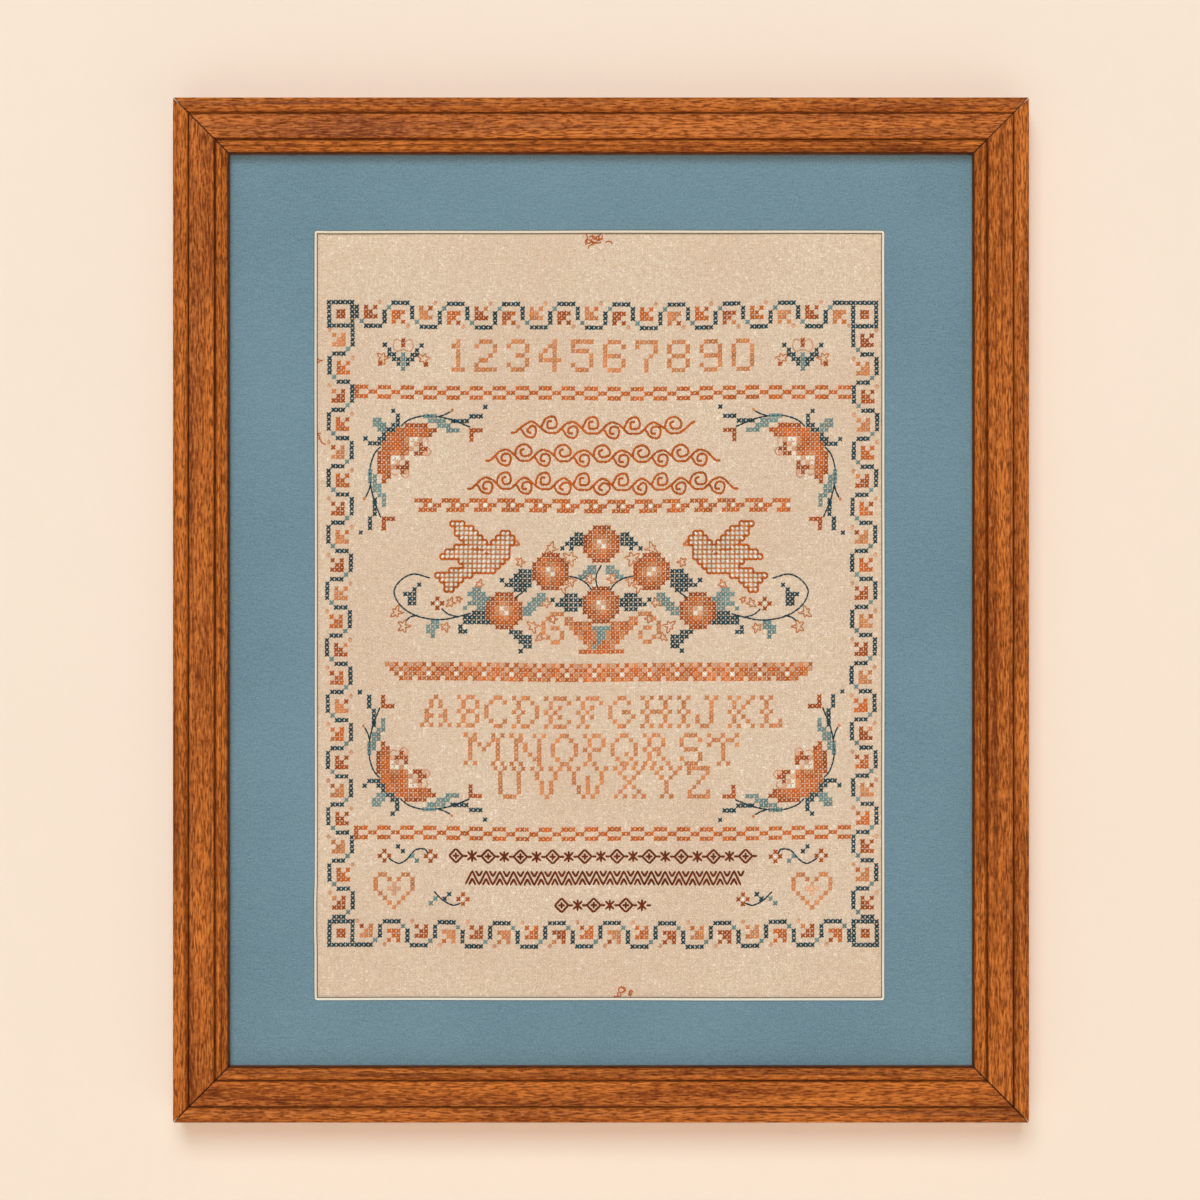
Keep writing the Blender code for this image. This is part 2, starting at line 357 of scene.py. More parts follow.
def paint_uv(face, uv_layer, low, high):
    """Lay one quad from join_rings between two corners of the UV map."""
    corners = ((low[0], low[1]), (low[0], high[1]), (high[0], high[1]), (high[0], low[1]))
    for loop, corner in zip(face.loops, corners):
        loop[uv_layer].uv = corner


def hand_over(piece, slot, *nodes):
    """Tie a finished piece to the construction."""
    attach(piece, "root")
    if nodes:
        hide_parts(*nodes)
    print(piece.name, "faces:", len(piece.data.polygons))


# %% [markdown]
# ## Wall and floor
# The frame hangs on a plain warm wall above a pale floor. Neither is part of the object. The
# wall is one sheet whose back is clear, so the back of the frame can be looked at too. It
# takes the frame's shadow but casts none, and it is hidden from bounced light, so the hanger
# side is lit like the front.

# %% Stage
WALL_GAP = 0.5 * MM
STAGE_HALF = 3.0
FLOOR_DROP = 0.55
FLOOR_DYE = dye(236, 228, 216)


def add_stage_sheet(name, corners, material):
    """One flat quad of the wall or floor."""
    bm = bmesh.new()
    bm.faces.new([bm.verts.new(corner) for corner in corners])
    sheet = add_piece(name, bm, [material], smooth=False)
    return sheet


def make_wall_paint():
    """Matt paint, faintly uneven, clear from behind."""
    paint = Finish("wall_paint", {"Roughness": 0.9, "Specular IOR Level": 0.1})
    cloud = paint.noise(paint.place(), scale=9.0, detail=2.0)
    fleck = paint.noise(paint.place(), scale=700.0, detail=2.0)
    tone = cloud * 0.5 + fleck * 0.5
    paint.feed("Base Color", paint.mix(tone, dye(243, 225, 208), dye(246, 229, 213)))
    clear = paint.node("ShaderNodeBsdfTransparent")
    behind = paint.node("ShaderNodeNewGeometry", output="Backfacing")
    front = Wire(paint, paint.shader.outputs["BSDF"])
    surface = paint.node("ShaderNodeMixShader", None, {0: behind, 1: front, 2: clear})
    paint.tree.links.new(surface.socket, paint.tree.nodes["Material Output"].inputs["Surface"])
    return paint.material


floor_finish = Finish("floor_paint", {"Base Color": FLOOR_DYE, "Roughness": 0.8})
wall_y = cad_high.y + WALL_GAP
floor_z = cad_low.z - FLOOR_DROP
wall = add_stage_sheet("wall", (
    (-STAGE_HALF, wall_y, floor_z), (STAGE_HALF, wall_y, floor_z),
    (STAGE_HALF, wall_y, STAGE_HALF), (-STAGE_HALF, wall_y, STAGE_HALF),
), make_wall_paint())
wall.visible_shadow = False
wall.visible_diffuse = False
wall.visible_glossy = False
add_stage_sheet("floor", (
    (-STAGE_HALF, -STAGE_HALF, floor_z), (STAGE_HALF, -STAGE_HALF, floor_z),
    (STAGE_HALF, STAGE_HALF, floor_z), (-STAGE_HALF, STAGE_HALF, floor_z),
), floor_finish.material)
print("wall at y =", round(wall_y, 4), "floor at z =", round(floor_z, 3))

# %% [markdown]
# ## Stained oak
# Oak has long open pores that the stain fills, so they read as short dark dashes along the
# grain, over wider bands of lighter and darker wood. Image textures would do it, but a pattern
# made of stretched noise follows any stick at any length. Each stick carries its own UV map:
# U runs along the stick in metres and V runs across its moulded face, so the grain bends
# round the beads and never slides across a mitre. Stain gathers in the grooves and at the
# joints, and the grooves, the slope to the sight edge and the sight edge itself also get
# painted shade. Stain with painted shade, and the joints, go on the points as two numbers,
# read here as attributes.

# %% Oak finish
GRAIN_BANDS = (9.0, 150.0, 1.0)
GRAIN_LINES = (4.0, 520.0, 1.0)
GRAIN_STREAKS = (70.0, 620.0, 1.0)
GRAIN_PORES = (230.0, 1500.0, 1.0)
OAK_MOTTLE = 700.0


def make_oak():
    """Satin oak stain with pores, bands, and grooves and sight edge darkened by stain and painted
    shade.
    """
    oak = Finish("stained_oak", {"Specular IOR Level": 0.08})
    along = oak.place("UV")
    bands = oak.noise(oak.stretch(along, GRAIN_BANDS), detail=3.0, distortion=0.6)
    streaks = oak.noise(oak.stretch(along, GRAIN_STREAKS), detail=3.0, roughness=0.6)
    pores = oak.noise(oak.stretch(along, GRAIN_PORES), detail=1.0, distortion=0.5)
    lines = oak.noise(oak.stretch(along, GRAIN_LINES), detail=2.0, distortion=0.3)
    mottle = oak.noise(along, scale=OAK_MOTTLE, detail=2.0)
    tone = (bands * 0.75 + streaks * 0.5 + mottle * 0.3).between(0.54, 1.00)
    open_pores = (pores + bands * 0.22 + streaks * 0.12).between(0.68, 0.82)
    wood = oak.mix(tone, dye(123, 55, 15), dye(211, 118, 48))
    bright = (1.0 - pores).between(0.52, 0.68)
    wood = oak.mix(bright * 0.42, wood, dye(222, 138, 66))
    wood = oak.mix(open_pores * 0.66, wood, dye(84, 36, 8))
    wood = oak.mix(lines.between(0.56, 0.70) * 0.55, wood, dye(92, 40, 10))
    # Stain gathered in the grooves, and painted shade there and along the sight edge, darken the
    # wood.
    stain = oak.attribute("stain")
    wood = oak.mix(stain * stain * 0.9, wood, dye(64, 27, 10))
    joint = oak.attribute("joint")
    wood = oak.mix(joint * 0.85, wood, dye(48, 20, 8))
    oak.feed("Base Color", wood)
    oak.feed("Roughness", 0.40 + open_pores * 0.25 + streaks * 0.10)
    oak.relief(streaks * 0.35 + bands * 0.3 - open_pores * 0.8, 0.10 * MM, 0.9)
    return oak.material


oak_material = make_oak()
print("made", oak_material.name)

# %% [markdown]
# ## The four oak sticks
# A framer planes one moulding and cuts it to four lengths at 45 degrees. So one section is
# drawn as a short table of corners, with arcs between them, and a function runs it along each
# side of the frame. The ends lie in the mitre planes, with a hair's gap and a slightly eased
# edge, which is what makes a mitre show as a fine dark line. Extra rings along the stick let
# the surface wander by a few hundredths of a millimetre, as hand-sanded wood does.

# %% Moulding section
MOULDING_FACE = (
    # across, height, arch, steps, stain and painted shade, in millimetres from the outer back edge
    (0.0, 17.6, 1.0, 20, 0.0),
    # The grooves are darkened by stain gathered in them and by painted shade.
    (5.6, 17.4, 0.0, 1, 0.45),
    (6.0, 16.3, 0.0, 1, 1.0),
    (6.4, 16.9, -0.2, 9, 0.55),
    (15.4, 17.9, 0.15, 5, 0.05),
    (16.1, 17.4, 0.0, 1, 0.6),
    (16.5, 16.7, 0.0, 1, 1.0),
    (16.9, 17.1, 0.9, 12, 0.68),
    # From here the slope down to the sight edge takes painted shade, and the sight edge itself a
    # painted shadow line.
    (19.3, 17.0, 0.25, 6, 0.62),
    (21.35, 15.6, 0.0, 1, 0.92),
    (21.8, 15.2, 0.0, 1, 1.0),
)
BACK_STAIN = 0.35
RABBET_WIDE = 6.35
RABBET_DEEP = 10.0
OUTER_SIDE_ROUND = 0.4
FACE_STAIN = 0.10
EDGE_POWER = 4


def arched(start, end, arch, steps):
    """Points on a flat arc from start up to, but without, end."""
    chord = end - start
    square = Vector((-chord.y, chord.x)) / chord.length if chord.length else chord
    points = []
    for step in range(steps):
        share = step / steps
        points.append(start + chord * share + square * arch * 4.0 * share * (1.0 - share))
    return points


def moulding_section():
    """The closed section as (point, stain and painted shade) rows: the face, then the rabbet and
    the back.
    """
    section = []
    for here, after in zip(MOULDING_FACE, MOULDING_FACE[1:]):
        start = Vector(here[:2])
        points = arched(start, Vector(after[:2]), here[2], here[3])
        for index, point in enumerate(points):
            share = index / len(points)
            edge = abs(2.0 * share - 1.0) ** EDGE_POWER if here[3] > 1 else 1.0 - share
            blend = here[4] * (1.0 - share) + after[4] * share
            section.append((point, blend * edge + FACE_STAIN * (1.0 - edge)))
    wide, sight_high, _, _, sight_painted_shade = MOULDING_FACE[-1]
    section.append((Vector((wide, sight_high)), sight_painted_shade))
    back = ((wide, RABBET_DEEP), (wide - RABBET_WIDE, RABBET_DEEP),
            (wide - RABBET_WIDE, 0.0), (OUTER_SIDE_ROUND, 0.0), (0.0, OUTER_SIDE_ROUND))
    section += [(Vector(corner), BACK_STAIN) for corner in back]
    return section


SECTION = moulding_section()
print("section points:", len(SECTION))

# %% Run the section along the four sides
JOINT_GAP = 0.01 * MM
JOINT_EASE = 0.02 * MM
JOINT_DARK = 0.35 * MM
RING_PITCH = 12.0 * MM
SANDING = 0.035 * MM
SANDING_WAVE = 3.0 * MM
GRAIN_SHIFT = (0.83, 0.083)
FRONT_FACE = RABBET_DEEP + 2.0
back_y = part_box("frame_top")[1].y

STICKS = (
    # side, direction along the stick, direction from its outer edge to the opening
    ("top", Vector((1, 0, 0)), Vector((0, 0, -1))),
    ("bottom", Vector((1, 0, 0)), Vector((0, 0, 1))),
    ("left", Vector((0, 0, 1)), Vector((1, 0, 0))),
    ("right", Vector((0, 0, 1)), Vector((-1, 0, 0))),
)


def stick_stations(half):
    """Rings along a stick as (share of the half length, inset from the mitre, joint paint)."""
    count = round(2.0 * half / RING_PITCH)
    inner = [(2.0 * step / count - 1.0, 0.0, 0.0) for step in range(1, count)]
    start = [(-1.0, 0.0, 1.0), (-1.0, JOINT_EASE, 0.8), (-1.0, JOINT_DARK, 0.0)]
    end = [(share * -1.0, inset, paint) for share, inset, paint in reversed(start)]
    return start + inner + end


def build_stick(side, along, inward, seed):
    """One mitred stick, with grain coordinates, and stain and painted shade on its points."""
    low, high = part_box("frame_" + side)
    middle = (low + high) / 2
    half = abs((high - low).dot(along)) / 2
    outer_edge = middle - inward * abs((high - low).dot(inward)) / 2
    outer_edge.y = back_y
    chance = random.Random(seed)
    bm = bmesh.new()
    stain_and_shade_layer = bm.verts.layers.float.new("stain")
    joint_layer = bm.verts.layers.float.new("joint")
    uv_layer = bm.loops.layers.uv.new("UVMap")
    run = [0.0]
    for (before, _), (point, _) in zip(SECTION, SECTION[1:]):
        run.append(run[-1] + (point - before).length * MM)
    run.append(run[-1] + (SECTION[0][0] - SECTION[-1][0]).length * MM)
    rings = []
    shifts = []
    for share, inset, joint in stick_stations(half):
        tilt = chance.uniform(-1.0, 1.0) * SANDING * (1.0 - joint)
        swell = chance.uniform(-1.0, 1.0) * SANDING * (1.0 - joint)
        rings.append([])
        shifts.append([])
        for index, (point, stain) in enumerate(SECTION):
            across = point.x * MM
            height = point.y * MM
            reach = half - across - JOINT_GAP
            shift = share * reach - math.copysign(inset, share)
            if point.y > FRONT_FACE:
                height += tilt * math.sin(run[index] / SANDING_WAVE) + swell
                height -= JOINT_EASE if joint == 1.0 else 0.0
            place = outer_edge + along * shift + inward * across - Vector((0, height, 0))
            place.y = max(place.y, cad_low.y)
            vert = bm.verts.new(place)
            vert[stain_and_shade_layer] = stain
            vert[joint_layer] = joint
            rings[-1].append(vert)
            shifts[-1].append(shift)
    count = len(SECTION)
    for face, number, index in join_rings(bm, rings):
        beside = (index + 1) % count
        corners = ((number, index, index), (number, beside, index + 1),
                   (number + 1, beside, index + 1), (number + 1, index, index))
        for loop, (ring, point, line) in zip(face.loops, corners):
            loop[uv_layer].uv = (shifts[ring][point] + seed * GRAIN_SHIFT[0],
                                 run[line] + seed * GRAIN_SHIFT[1])
    for ring in (rings[0], rings[-1]):
        bm.faces.new(ring)
    bmesh.ops.recalc_face_normals(bm, faces=bm.faces[:])
    return add_piece("oak_" + side, bm, [oak_material])


for seed, (side, along, inward) in enumerate(STICKS, start=3):
    hand_over(build_stick(side, along, inward, seed), "stained_oak", "frame_" + side)

# %% [markdown]
# ## Blue window mat
# The mat is one sheet of thick paper board with a window cut in it by hand at a slant, so a
# narrow band of its cream core shows all round. The paper has a fine speckle. The slanted cut
# is never perfectly straight: the knife wanders by a tenth of a millimetre, and it leaves
# small round corners. The board is built as a set of rings from its outer edge, over the
# front, down the slant and along the back, all with the same number of points.

# %% Mat finishes
PAPER_GRAIN = 1500.0
PAPER_FIBRE = (420.0, 420.0, 2600.0)


def make_mat_paper():
    """Matt blue paper with a fine speckle."""
    paper = Finish("blue_mat_paper", {"Specular IOR Level": 0.2, "Roughness": 0.88})
    place = paper.place()
    grain = paper.noise(place, scale=PAPER_GRAIN, detail=3.0, roughness=0.65)
    fibre = paper.noise(paper.stretch(place, PAPER_FIBRE), detail=2.0)
    cloud = paper.noise(place, scale=14.0, detail=2.0)
    tone = grain * 0.6 + fibre * 0.25 + cloud * 0.15
    colour = paper.mix(tone.between(0.30, 0.70), dye(92, 121, 134), dye(124, 153, 166))
    edge = paper.attribute("edge")
    colour = paper.mix(edge * 0.9, colour, dye(46, 70, 82))
    paper.feed("Base Color", colour)
    paper.relief(grain * 0.7 + fibre * 0.3, 0.05 * MM, 0.7)
    return paper.material


def make_mat_core():
    """Cream board core, with dust and painted shade at the foot of the slant."""
    core = Finish("mat_core", {"Specular IOR Level": 0.2, "Roughness": 0.8})
    place = core.place()
    grain = core.noise(place, scale=900.0, detail=2.0)
    colour = core.mix(grain, dye(244, 232, 212), dye(253, 246, 230))
    # The foot of the slant is darkened, for dust and for painted shade where the cut meets the
    # cloth.
    foot = core.attribute("foot")
    core.feed("Base Color", core.mix(foot.between(0.42, 0.72) * 0.9, colour, dye(70, 62, 44)))
    core.relief(grain, 0.04 * MM, 0.5)
    return core.material


mat_paper = make_mat_paper()
mat_core = make_mat_core()
print("made", mat_paper.name, "and", mat_core.name)

# %% Mat board
WINDOW_WIDE = 226.9 * MM
WINDOW_HIGH = 306.5 * MM
WINDOW_DROP = 2.2 * MM
WINDOW_SHIFT = -0.6 * MM
BEVEL_WIDE = 1.1 * MM
CORNER_ROUND = 1.0 * MM
CORNER_STEPS = 6
SIDE_STEPS = 46
KNIFE_WANDER = 0.13 * MM
KNIFE_SLIP = 1.4
SLIP_SIDE = 1
SLIP_FROM = 0.86
SLIP_TO = 0.93
CORNER_LEAST = 0.15 * MM
CORNER_SIGNS = ((1, 1), (-1, 1), (-1, -1), (1, -1))
mat_low, mat_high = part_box("mat_board")
window_middle = (mat_low + mat_high) / 2
window_middle.x += WINDOW_SHIFT
window_middle.z -= WINDOW_DROP
BEVEL_DEEP = mat_high.y - mat_low.y


def wander(side, share):
    """How far the knife strays outwards from its line, along one side."""
    drift = math.sin(share * 5.1 + side * 1.7) + 0.5 * math.sin(share * 17.0 + side * 4.1)
    slip = KNIFE_SLIP if side == SLIP_SIDE and SLIP_FROM < share < SLIP_TO else 0.0
    return KNIFE_WANDER * (0.6 * drift + slip)


def window_outline(grow):
    """A rounded window, grown by some metres, as (x, z) from its middle, anticlockwise."""
    radius = max(CORNER_ROUND + grow, CORNER_LEAST)
    half_wide = WINDOW_WIDE / 2 + grow - radius
    half_high = WINDOW_HIGH / 2 + grow - radius
    centres = [Vector((x * half_wide, z * half_high)) for x, z in CORNER_SIGNS]
    points = []
    for side, (centre, target) in enumerate(zip(centres, centres[1:] + centres[:1])):
        for step in range(CORNER_STEPS + 1):
            angle = (side + step / CORNER_STEPS) * math.pi / 2
            outward = Vector((math.cos(angle), math.sin(angle)))
            points.append(centre + radius * outward)
        start = points[-1]
        end = target + radius * outward
        for step in range(1, SIDE_STEPS):
            share = step / SIDE_STEPS
            points.append(start.lerp(end, share) + outward * wander(side, share))
    return points


def board_outline():
    """The board's outer edge, with one point for each point of the window."""
    half = Vector((mat_high.x - mat_low.x, mat_high.z - mat_low.z)) / 2
    window = window_outline(0.0)
    per_side = CORNER_STEPS + SIDE_STEPS
    points = []
    for index, point in enumerate(window):
        reach = max(abs(point.x) / (WINDOW_WIDE / 2), abs(point.y) / (WINDOW_HIGH / 2))
        x = point.x / (WINDOW_WIDE / 2) / reach * half.x
        z = point.y / (WINDOW_HIGH / 2) / reach * half.y
        if index % per_side == CORNER_STEPS // 2:
            x = math.copysign(half.x, point.x)
            z = math.copysign(half.y, point.y)
        points.append(Vector((x - WINDOW_SHIFT, z + WINDOW_DROP)))
    return points


PAPER_RINGS = 4
MAT_RINGS = (
    # grown by, depth behind the front as a share of the board, edge paint, foot dust and painted
    # shade
    (6.0 * MM, 0.0, 0.0, 0.0),
    (0.45 * MM, 0.0, 0.0, 0.0),
    (0.0, 0.03, 1.0, 0.0),
    (-0.10 * MM, 0.09, 0.4, 0.0),
    (-0.62 * BEVEL_WIDE, 0.62, 0.0, 0.0),
    (-0.78 * BEVEL_WIDE, 0.78, 0.0, 0.85),
    (-BEVEL_WIDE, 1.0, 0.0, 1.0),
)


def build_mat():
    """The window mat as rings of points joined by quads."""
    bm = bmesh.new()
    edge_layer = bm.verts.layers.float.new("edge")
    foot_dust_and_shade_layer = bm.verts.layers.float.new("foot")

    def ring(points, y, edge, foot):
        verts = []
        for point in points:
            place = (window_middle.x + point.x, y, window_middle.z + point.y)
            vert = bm.verts.new(place)
            vert[edge_layer] = edge
            vert[foot_dust_and_shade_layer] = foot
            verts.append(vert)
        return verts

    outer = board_outline()
    rings = [ring(outer, mat_high.y, 0.0, 0.0), ring(outer, mat_low.y, 0.0, 0.0)]
    for grow, depth, edge, foot in MAT_RINGS:
        y = mat_low.y + depth * BEVEL_DEEP
        rings.append(ring(window_outline(grow), y, edge, foot))
    for face, number, _ in join_rings(bm, rings, closed=True):
        face.material_index = 0 if 0 < number < PAPER_RINGS else 1
    bmesh.ops.recalc_face_normals(bm, faces=bm.faces[:])
    return add_piece("window_mat", bm, [mat_paper, mat_core])


window_mat = build_mat()
hand_over(window_mat, "blue_mat_board", "mat_board")

# %% [markdown]
# ## The stitching grid
# Cross stitch lives on a grid: one cross covers two threads each way of the linen. So before
# the cloth is made, the grid is fixed. A function turns a place on the chart, counted in
# squares from the top left, into a place in the room. Hand-stretched linen is never square,
# so the same function lets the rows bow by about half a millimetre. The cloth's weave and the
# stitches both use it, and so they stay together.

# %% Grid
COLUMNS = 120
ROWS = 138
SQUARE_WIDE = 1.835 * MM
SQUARE_HIGH = 1.870 * MM
DESIGN_X = 0.4 * MM
DESIGN_Z = -201.1 * MM
BOW = 0.42 * MM
CLOTH_THICK = 0.45 * MM
CLOTH_WAVE = 0.20 * MM
cloth_low, cloth_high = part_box("sampler_cloth")
cloth_y = (cloth_low.y + cloth_high.y) / 2


def bow(column, row):
    """How far the cloth strays from an even grid there, as (x, z) in metres."""
    x = math.sin(row * 0.055 + 0.6) + 0.4 * math.sin(row * 0.16 + column * 0.03)
    z = math.sin(column * 0.047 + 1.9) + 0.4 * math.sin(column * 0.14 + row * 0.04 + 0.5)
    return BOW * x, BOW * z


def cloth_front(x, z):
    """The y of the cloth's face, which swells and dips very slightly."""
    swell = math.sin(x / MM * 0.043 + 0.7) * math.sin(z / MM * 0.037)
    ripple = math.sin(x / MM * 0.13 + z / MM * 0.05) * 0.3
    return cloth_y - CLOTH_THICK / 2 - CLOTH_WAVE * (swell + ripple) / 1.3


def on_chart(column, row):
    """The point on the cloth's face at that place of the chart."""
    stray_x, stray_z = bow(column, row)
    x = DESIGN_X + (column - COLUMNS / 2) * SQUARE_WIDE + stray_x
    z = DESIGN_Z - (row - ROWS / 2) * SQUARE_HIGH + stray_z
    return Vector((x, cloth_front(x, z), z))


print("worked area in mm:", round(COLUMNS * SQUARE_WIDE / MM), "x", round(ROWS * SQUARE_HIGH / MM))

# %% [markdown]
# ## Linen cloth
# Evenweave linen is a plain weave of slightly slubby threads, 28 to the inch. A cloth of real
# woven threads would be millions of faces, so the sheet itself is a thin, softly waved mesh,
# and the weave is drawn by its finish: two crossed waves for warp and weft, a hole where four
# threads meet that is painted dark as its shade, and a long streak of noise along each thread
# for its slubs. The UV map counts threads, so two threads always lie under one cross.

# %% Linen finish
SLUBS_ALONG = (0.30, 1.0, 1.0)
SLUBS_ACROSS = (1.0, 0.30, 1.0)
CURL_SCALE = 0.55


def make_linen():
    """Natural linen in a plain weave."""
    linen = Finish("natural_linen", {"Specular IOR Level": 0.15, "Roughness": 0.95,
                                     "Sheen Weight": 0.08})
    threads = linen.place("UV")
    across = abs(linen.axis(threads, "X").wave())
    down = abs(linen.axis(threads, "Y").wave())
    over = linen.axis(threads, "X").wave() * linen.axis(threads, "Y").wave()
    weft = linen.noise(linen.stretch(threads, SLUBS_ALONG), detail=2.0)
    warp = linen.noise(linen.stretch(threads, SLUBS_ACROSS), detail=2.0)
    fuzz = linen.noise(threads, scale=1.1, detail=3.0, roughness=0.6)
    curl = linen.noise(threads, scale=CURL_SCALE, detail=0.0)
    curls = (1.0 - abs(curl - 0.5) * 13.0).between(0.0, 1.0)
    cloud = linen.noise(linen.place(), scale=16.0, detail=2.0)
    painted_hole_shade = (1.0 - across) * (1.0 - down)
    height = across * 0.4 + down * 0.4 + over * 0.15 + (weft + warp) * 0.4 + curls * 1.5
    tone = weft * 0.34 + warp * 0.34 + fuzz * 0.32 + over * 0.03
    colour = linen.mix(tone.between(0.30, 0.72), dye(206, 178, 150), dye(238, 216, 192))
    colour = linen.mix(curls * 0.75, colour, dye(252, 233, 212))
    # Where four threads meet, the hole is darkened as painted shade.
    colour = linen.mix(painted_hole_shade.between(0.35, 0.95) * 0.40, colour, dye(168, 138, 110))
    colour = linen.mix(cloud.between(0.35, 0.7) * 0.30, colour, dye(214, 180, 155))
    linen.feed("Base Color", colour)
    linen.relief(height, 0.16 * MM, 0.8)
    return linen.material


linen_material = make_linen()
print("made", linen_material.name)

# %% Linen sheet
CLOTH_STEPS_WIDE = 110
CLOTH_STEPS_HIGH = 142
THREADS_A_SQUARE = 2.0


def thread_count(place):
    """Which thread of the weave lies at a place, in both directions."""
    column = (place.x - DESIGN_X) / SQUARE_WIDE + COLUMNS / 2
    row = (DESIGN_Z - place.z) / SQUARE_HIGH + ROWS / 2
    stray_x, stray_z = bow(column, row)
    return ((column - stray_x / SQUARE_WIDE) * THREADS_A_SQUARE,
            (row + stray_z / SQUARE_HIGH) * THREADS_A_SQUARE)


def build_linen():
    """A closed thin sheet: front, back and the cut edge between them."""
    bm = bmesh.new()
    uv_layer = bm.loops.layers.uv.new("UVMap")
    front = []
    back = []
    for down in range(CLOTH_STEPS_HIGH + 1):
        z = cloth_high.z + (cloth_low.z - cloth_high.z) * down / CLOTH_STEPS_HIGH
        for step in range(CLOTH_STEPS_WIDE + 1):
            x = cloth_low.x + (cloth_high.x - cloth_low.x) * step / CLOTH_STEPS_WIDE
            y = cloth_front(x, z)
            front.append(bm.verts.new((x, y, z)))
            back.append(bm.verts.new((x, y + CLOTH_THICK, z)))
    wide = CLOTH_STEPS_WIDE + 1
    for down in range(CLOTH_STEPS_HIGH):
        for step in range(CLOTH_STEPS_WIDE):
            corner = down * wide + step
            quad = (corner, corner + wide, corner + wide + 1, corner + 1)
            bm.faces.new([front[index] for index in quad])
            bm.faces.new([back[index] for index in reversed(quad)])
    top = list(range(wide))
    right = [row * wide + wide - 1 for row in range(CLOTH_STEPS_HIGH + 1)]
    bottom = [CLOTH_STEPS_HIGH * wide + step for step in reversed(range(wide))]
    left = [row * wide for row in reversed(range(CLOTH_STEPS_HIGH + 1))]
    rim = top[:-1] + right[:-1] + bottom[:-1] + left[:-1]
    for index, after in zip(rim, rim[1:] + rim[:1]):
        bm.faces.new((front[index], front[after], back[after], back[index]))
    bmesh.ops.recalc_face_normals(bm, faces=bm.faces[:])
    for face in bm.faces:
        for loop in face.loops:
            loop[uv_layer].uv = thread_count(loop.vert.co)
    return add_piece("linen_cloth", bm, [linen_material])


linen_cloth = build_linen()
hand_over(linen_cloth, "linen", "sampler_cloth")

# %% [markdown]
# ## The chart
# A stitcher works from a chart: squares of colour on grid paper. The same is done here. A
# motif is a few strings with one letter for each square, and a motif can be worked again in a
# mirror. Later motifs cover earlier ones, as in a chart that is pencilled over. Lines of
# backstitch and French knots are kept in two more lists.

# %% Chart keeper
THREADS = {
    # letter: name, dye
    "T": ("deep_teal", dye(24, 68, 80)),
    "t": ("soft_teal", dye(110, 146, 146)),
    "D": ("dark_rust", dye(172, 76, 2)),
    "R": ("mid_rust", dye(206, 101, 22)),
    "C": ("coral", dye(218, 136, 78)),
    "P": ("pale_pink", dye(236, 174, 136)),
    "W": ("cream", dye(254, 238, 216)),
    "B": ("brown", dye(122, 48, 4)),
}
crosses = {}
strands = []
knots = []


def as_drawn(column, row):
    """The chart as it is."""
    return column, row


def across(column, row):
    """Mirrored left to right."""
    return COLUMNS - column, row


HALF_SQUARE = 0.5
STEM_STEP = 1.1
HERE = (as_drawn,)
BOTH = (as_drawn, across)


def unpick_round(place):
    """Take out the crosses that are half a square away from a new one."""
    for right in (-HALF_SQUARE, 0.0, HALF_SQUARE):
        for down in (-HALF_SQUARE, 0.0, HALF_SQUARE):
            crosses.pop((place[0] + right, place[1] + down), None)


def work(motif, column, row, ways=HERE, thread=None):
    """Work a motif of crosses; an X takes the thread that is given."""
    for down, line in enumerate(motif.split("|")):
        for step, letter in enumerate(line):
            if letter in " .":
                continue
            for way in ways:
                square = way(column + step + HALF_SQUARE, row + down + HALF_SQUARE)
                place = (round(square[0], 2), round(square[1], 2))
                unpick_round(place)
                crosses[place] = thread if letter == "X" else letter


def backstitch(thread, route, thick, ways=HERE):
    """Straight stitches from each point of a route to the next."""
    for way in ways:
        for start, end in zip(route, route[1:]):
            strands.append((thread, way(*start), way(*end), thick))


def moved(route, column, row):
    """A route drawn from the corner of a motif, moved to where the motif is worked."""
    return [(column + x, row + y) for x, y in route]


def knot(thread, column, row, size, ways=HERE):
    """A French knot."""
    for way in ways:
        knots.append((thread, way(column, row), size))


def eased(route, step=STEM_STEP):
    """A smooth curve through the points of a route, cut to stitches about a step long."""
    points = [Vector(point) for point in route]
    ends = [2 * points[0] - points[1]] + points + [2 * points[-1] - points[-2]]
    curve = []
    for before, start, end, after in zip(ends, ends[1:], ends[2:], ends[3:]):
        count = max(1, round((end - start).length / step))
        for part in range(count):
            t = part / count
            curve.append(0.5 * (2 * start + (end - before) * t
                                + (2 * before - 5 * start + 4 * end - after) * t ** 2
                                + (3 * start - before - 3 * end + after) * t ** 3))
    curve.append(points[-1])
    return [tuple(point) for point in curve]


def tally():
    """Print how much is charted so far."""
    print("crosses:", len(crosses), "backstitches:", len(strands), "knots:", len(knots))


print("threads:", [name for name, _ in THREADS.values()])

# %% [markdown]
# ## Border
# The border is a teal line that steps in and out round the whole design, with a small flower
# in every bay and a square at each corner. It repeats every twelve squares, so the chart holds
# one repeat and a rule for which square of it falls where. The rule runs forwards along the
# top and backwards along the other sides, so the line meets the corner squares neatly.

# %% Border chart
WAVE_REPEAT = (
    "TTTT.....o..",
    "....T.X.Y..t",
    "XXX.T.XX..T.",
    "XX..T.XXX.T.",
    "X.Y..t....T.",
    "...o..TTTT..",
)
CORNER_SQUARE = "TTTTTT|T....T|T.DD.T|T.DD.T|T....T|TTTTTT"
FLOWER_SHADES = ("CR", "DD", "RR", "CD", "RD", "DC", "RR", "CC", "DD")
REPEAT = 12
BAND = 6
EDGES = (
    # steps along the edge, phase from a step, square from a step and a depth
    (COLUMNS, lambda step: step - 2, lambda step, depth: (step, depth)),
    (COLUMNS, lambda step: 9 - step, lambda step, depth: (step, ROWS - 1 - depth)),
    (ROWS, lambda step: 15 - step, lambda step, depth: (depth, step)),
    (ROWS, lambda step: 15 - step, lambda step, depth: (COLUMNS - 1 - depth, step)),
)
PETAL_CURL = ((0.1, 0.5), (0.5, -0.1), (0.9, 0.2), (0.7, 0.7))
CURL_THICK = 0.38


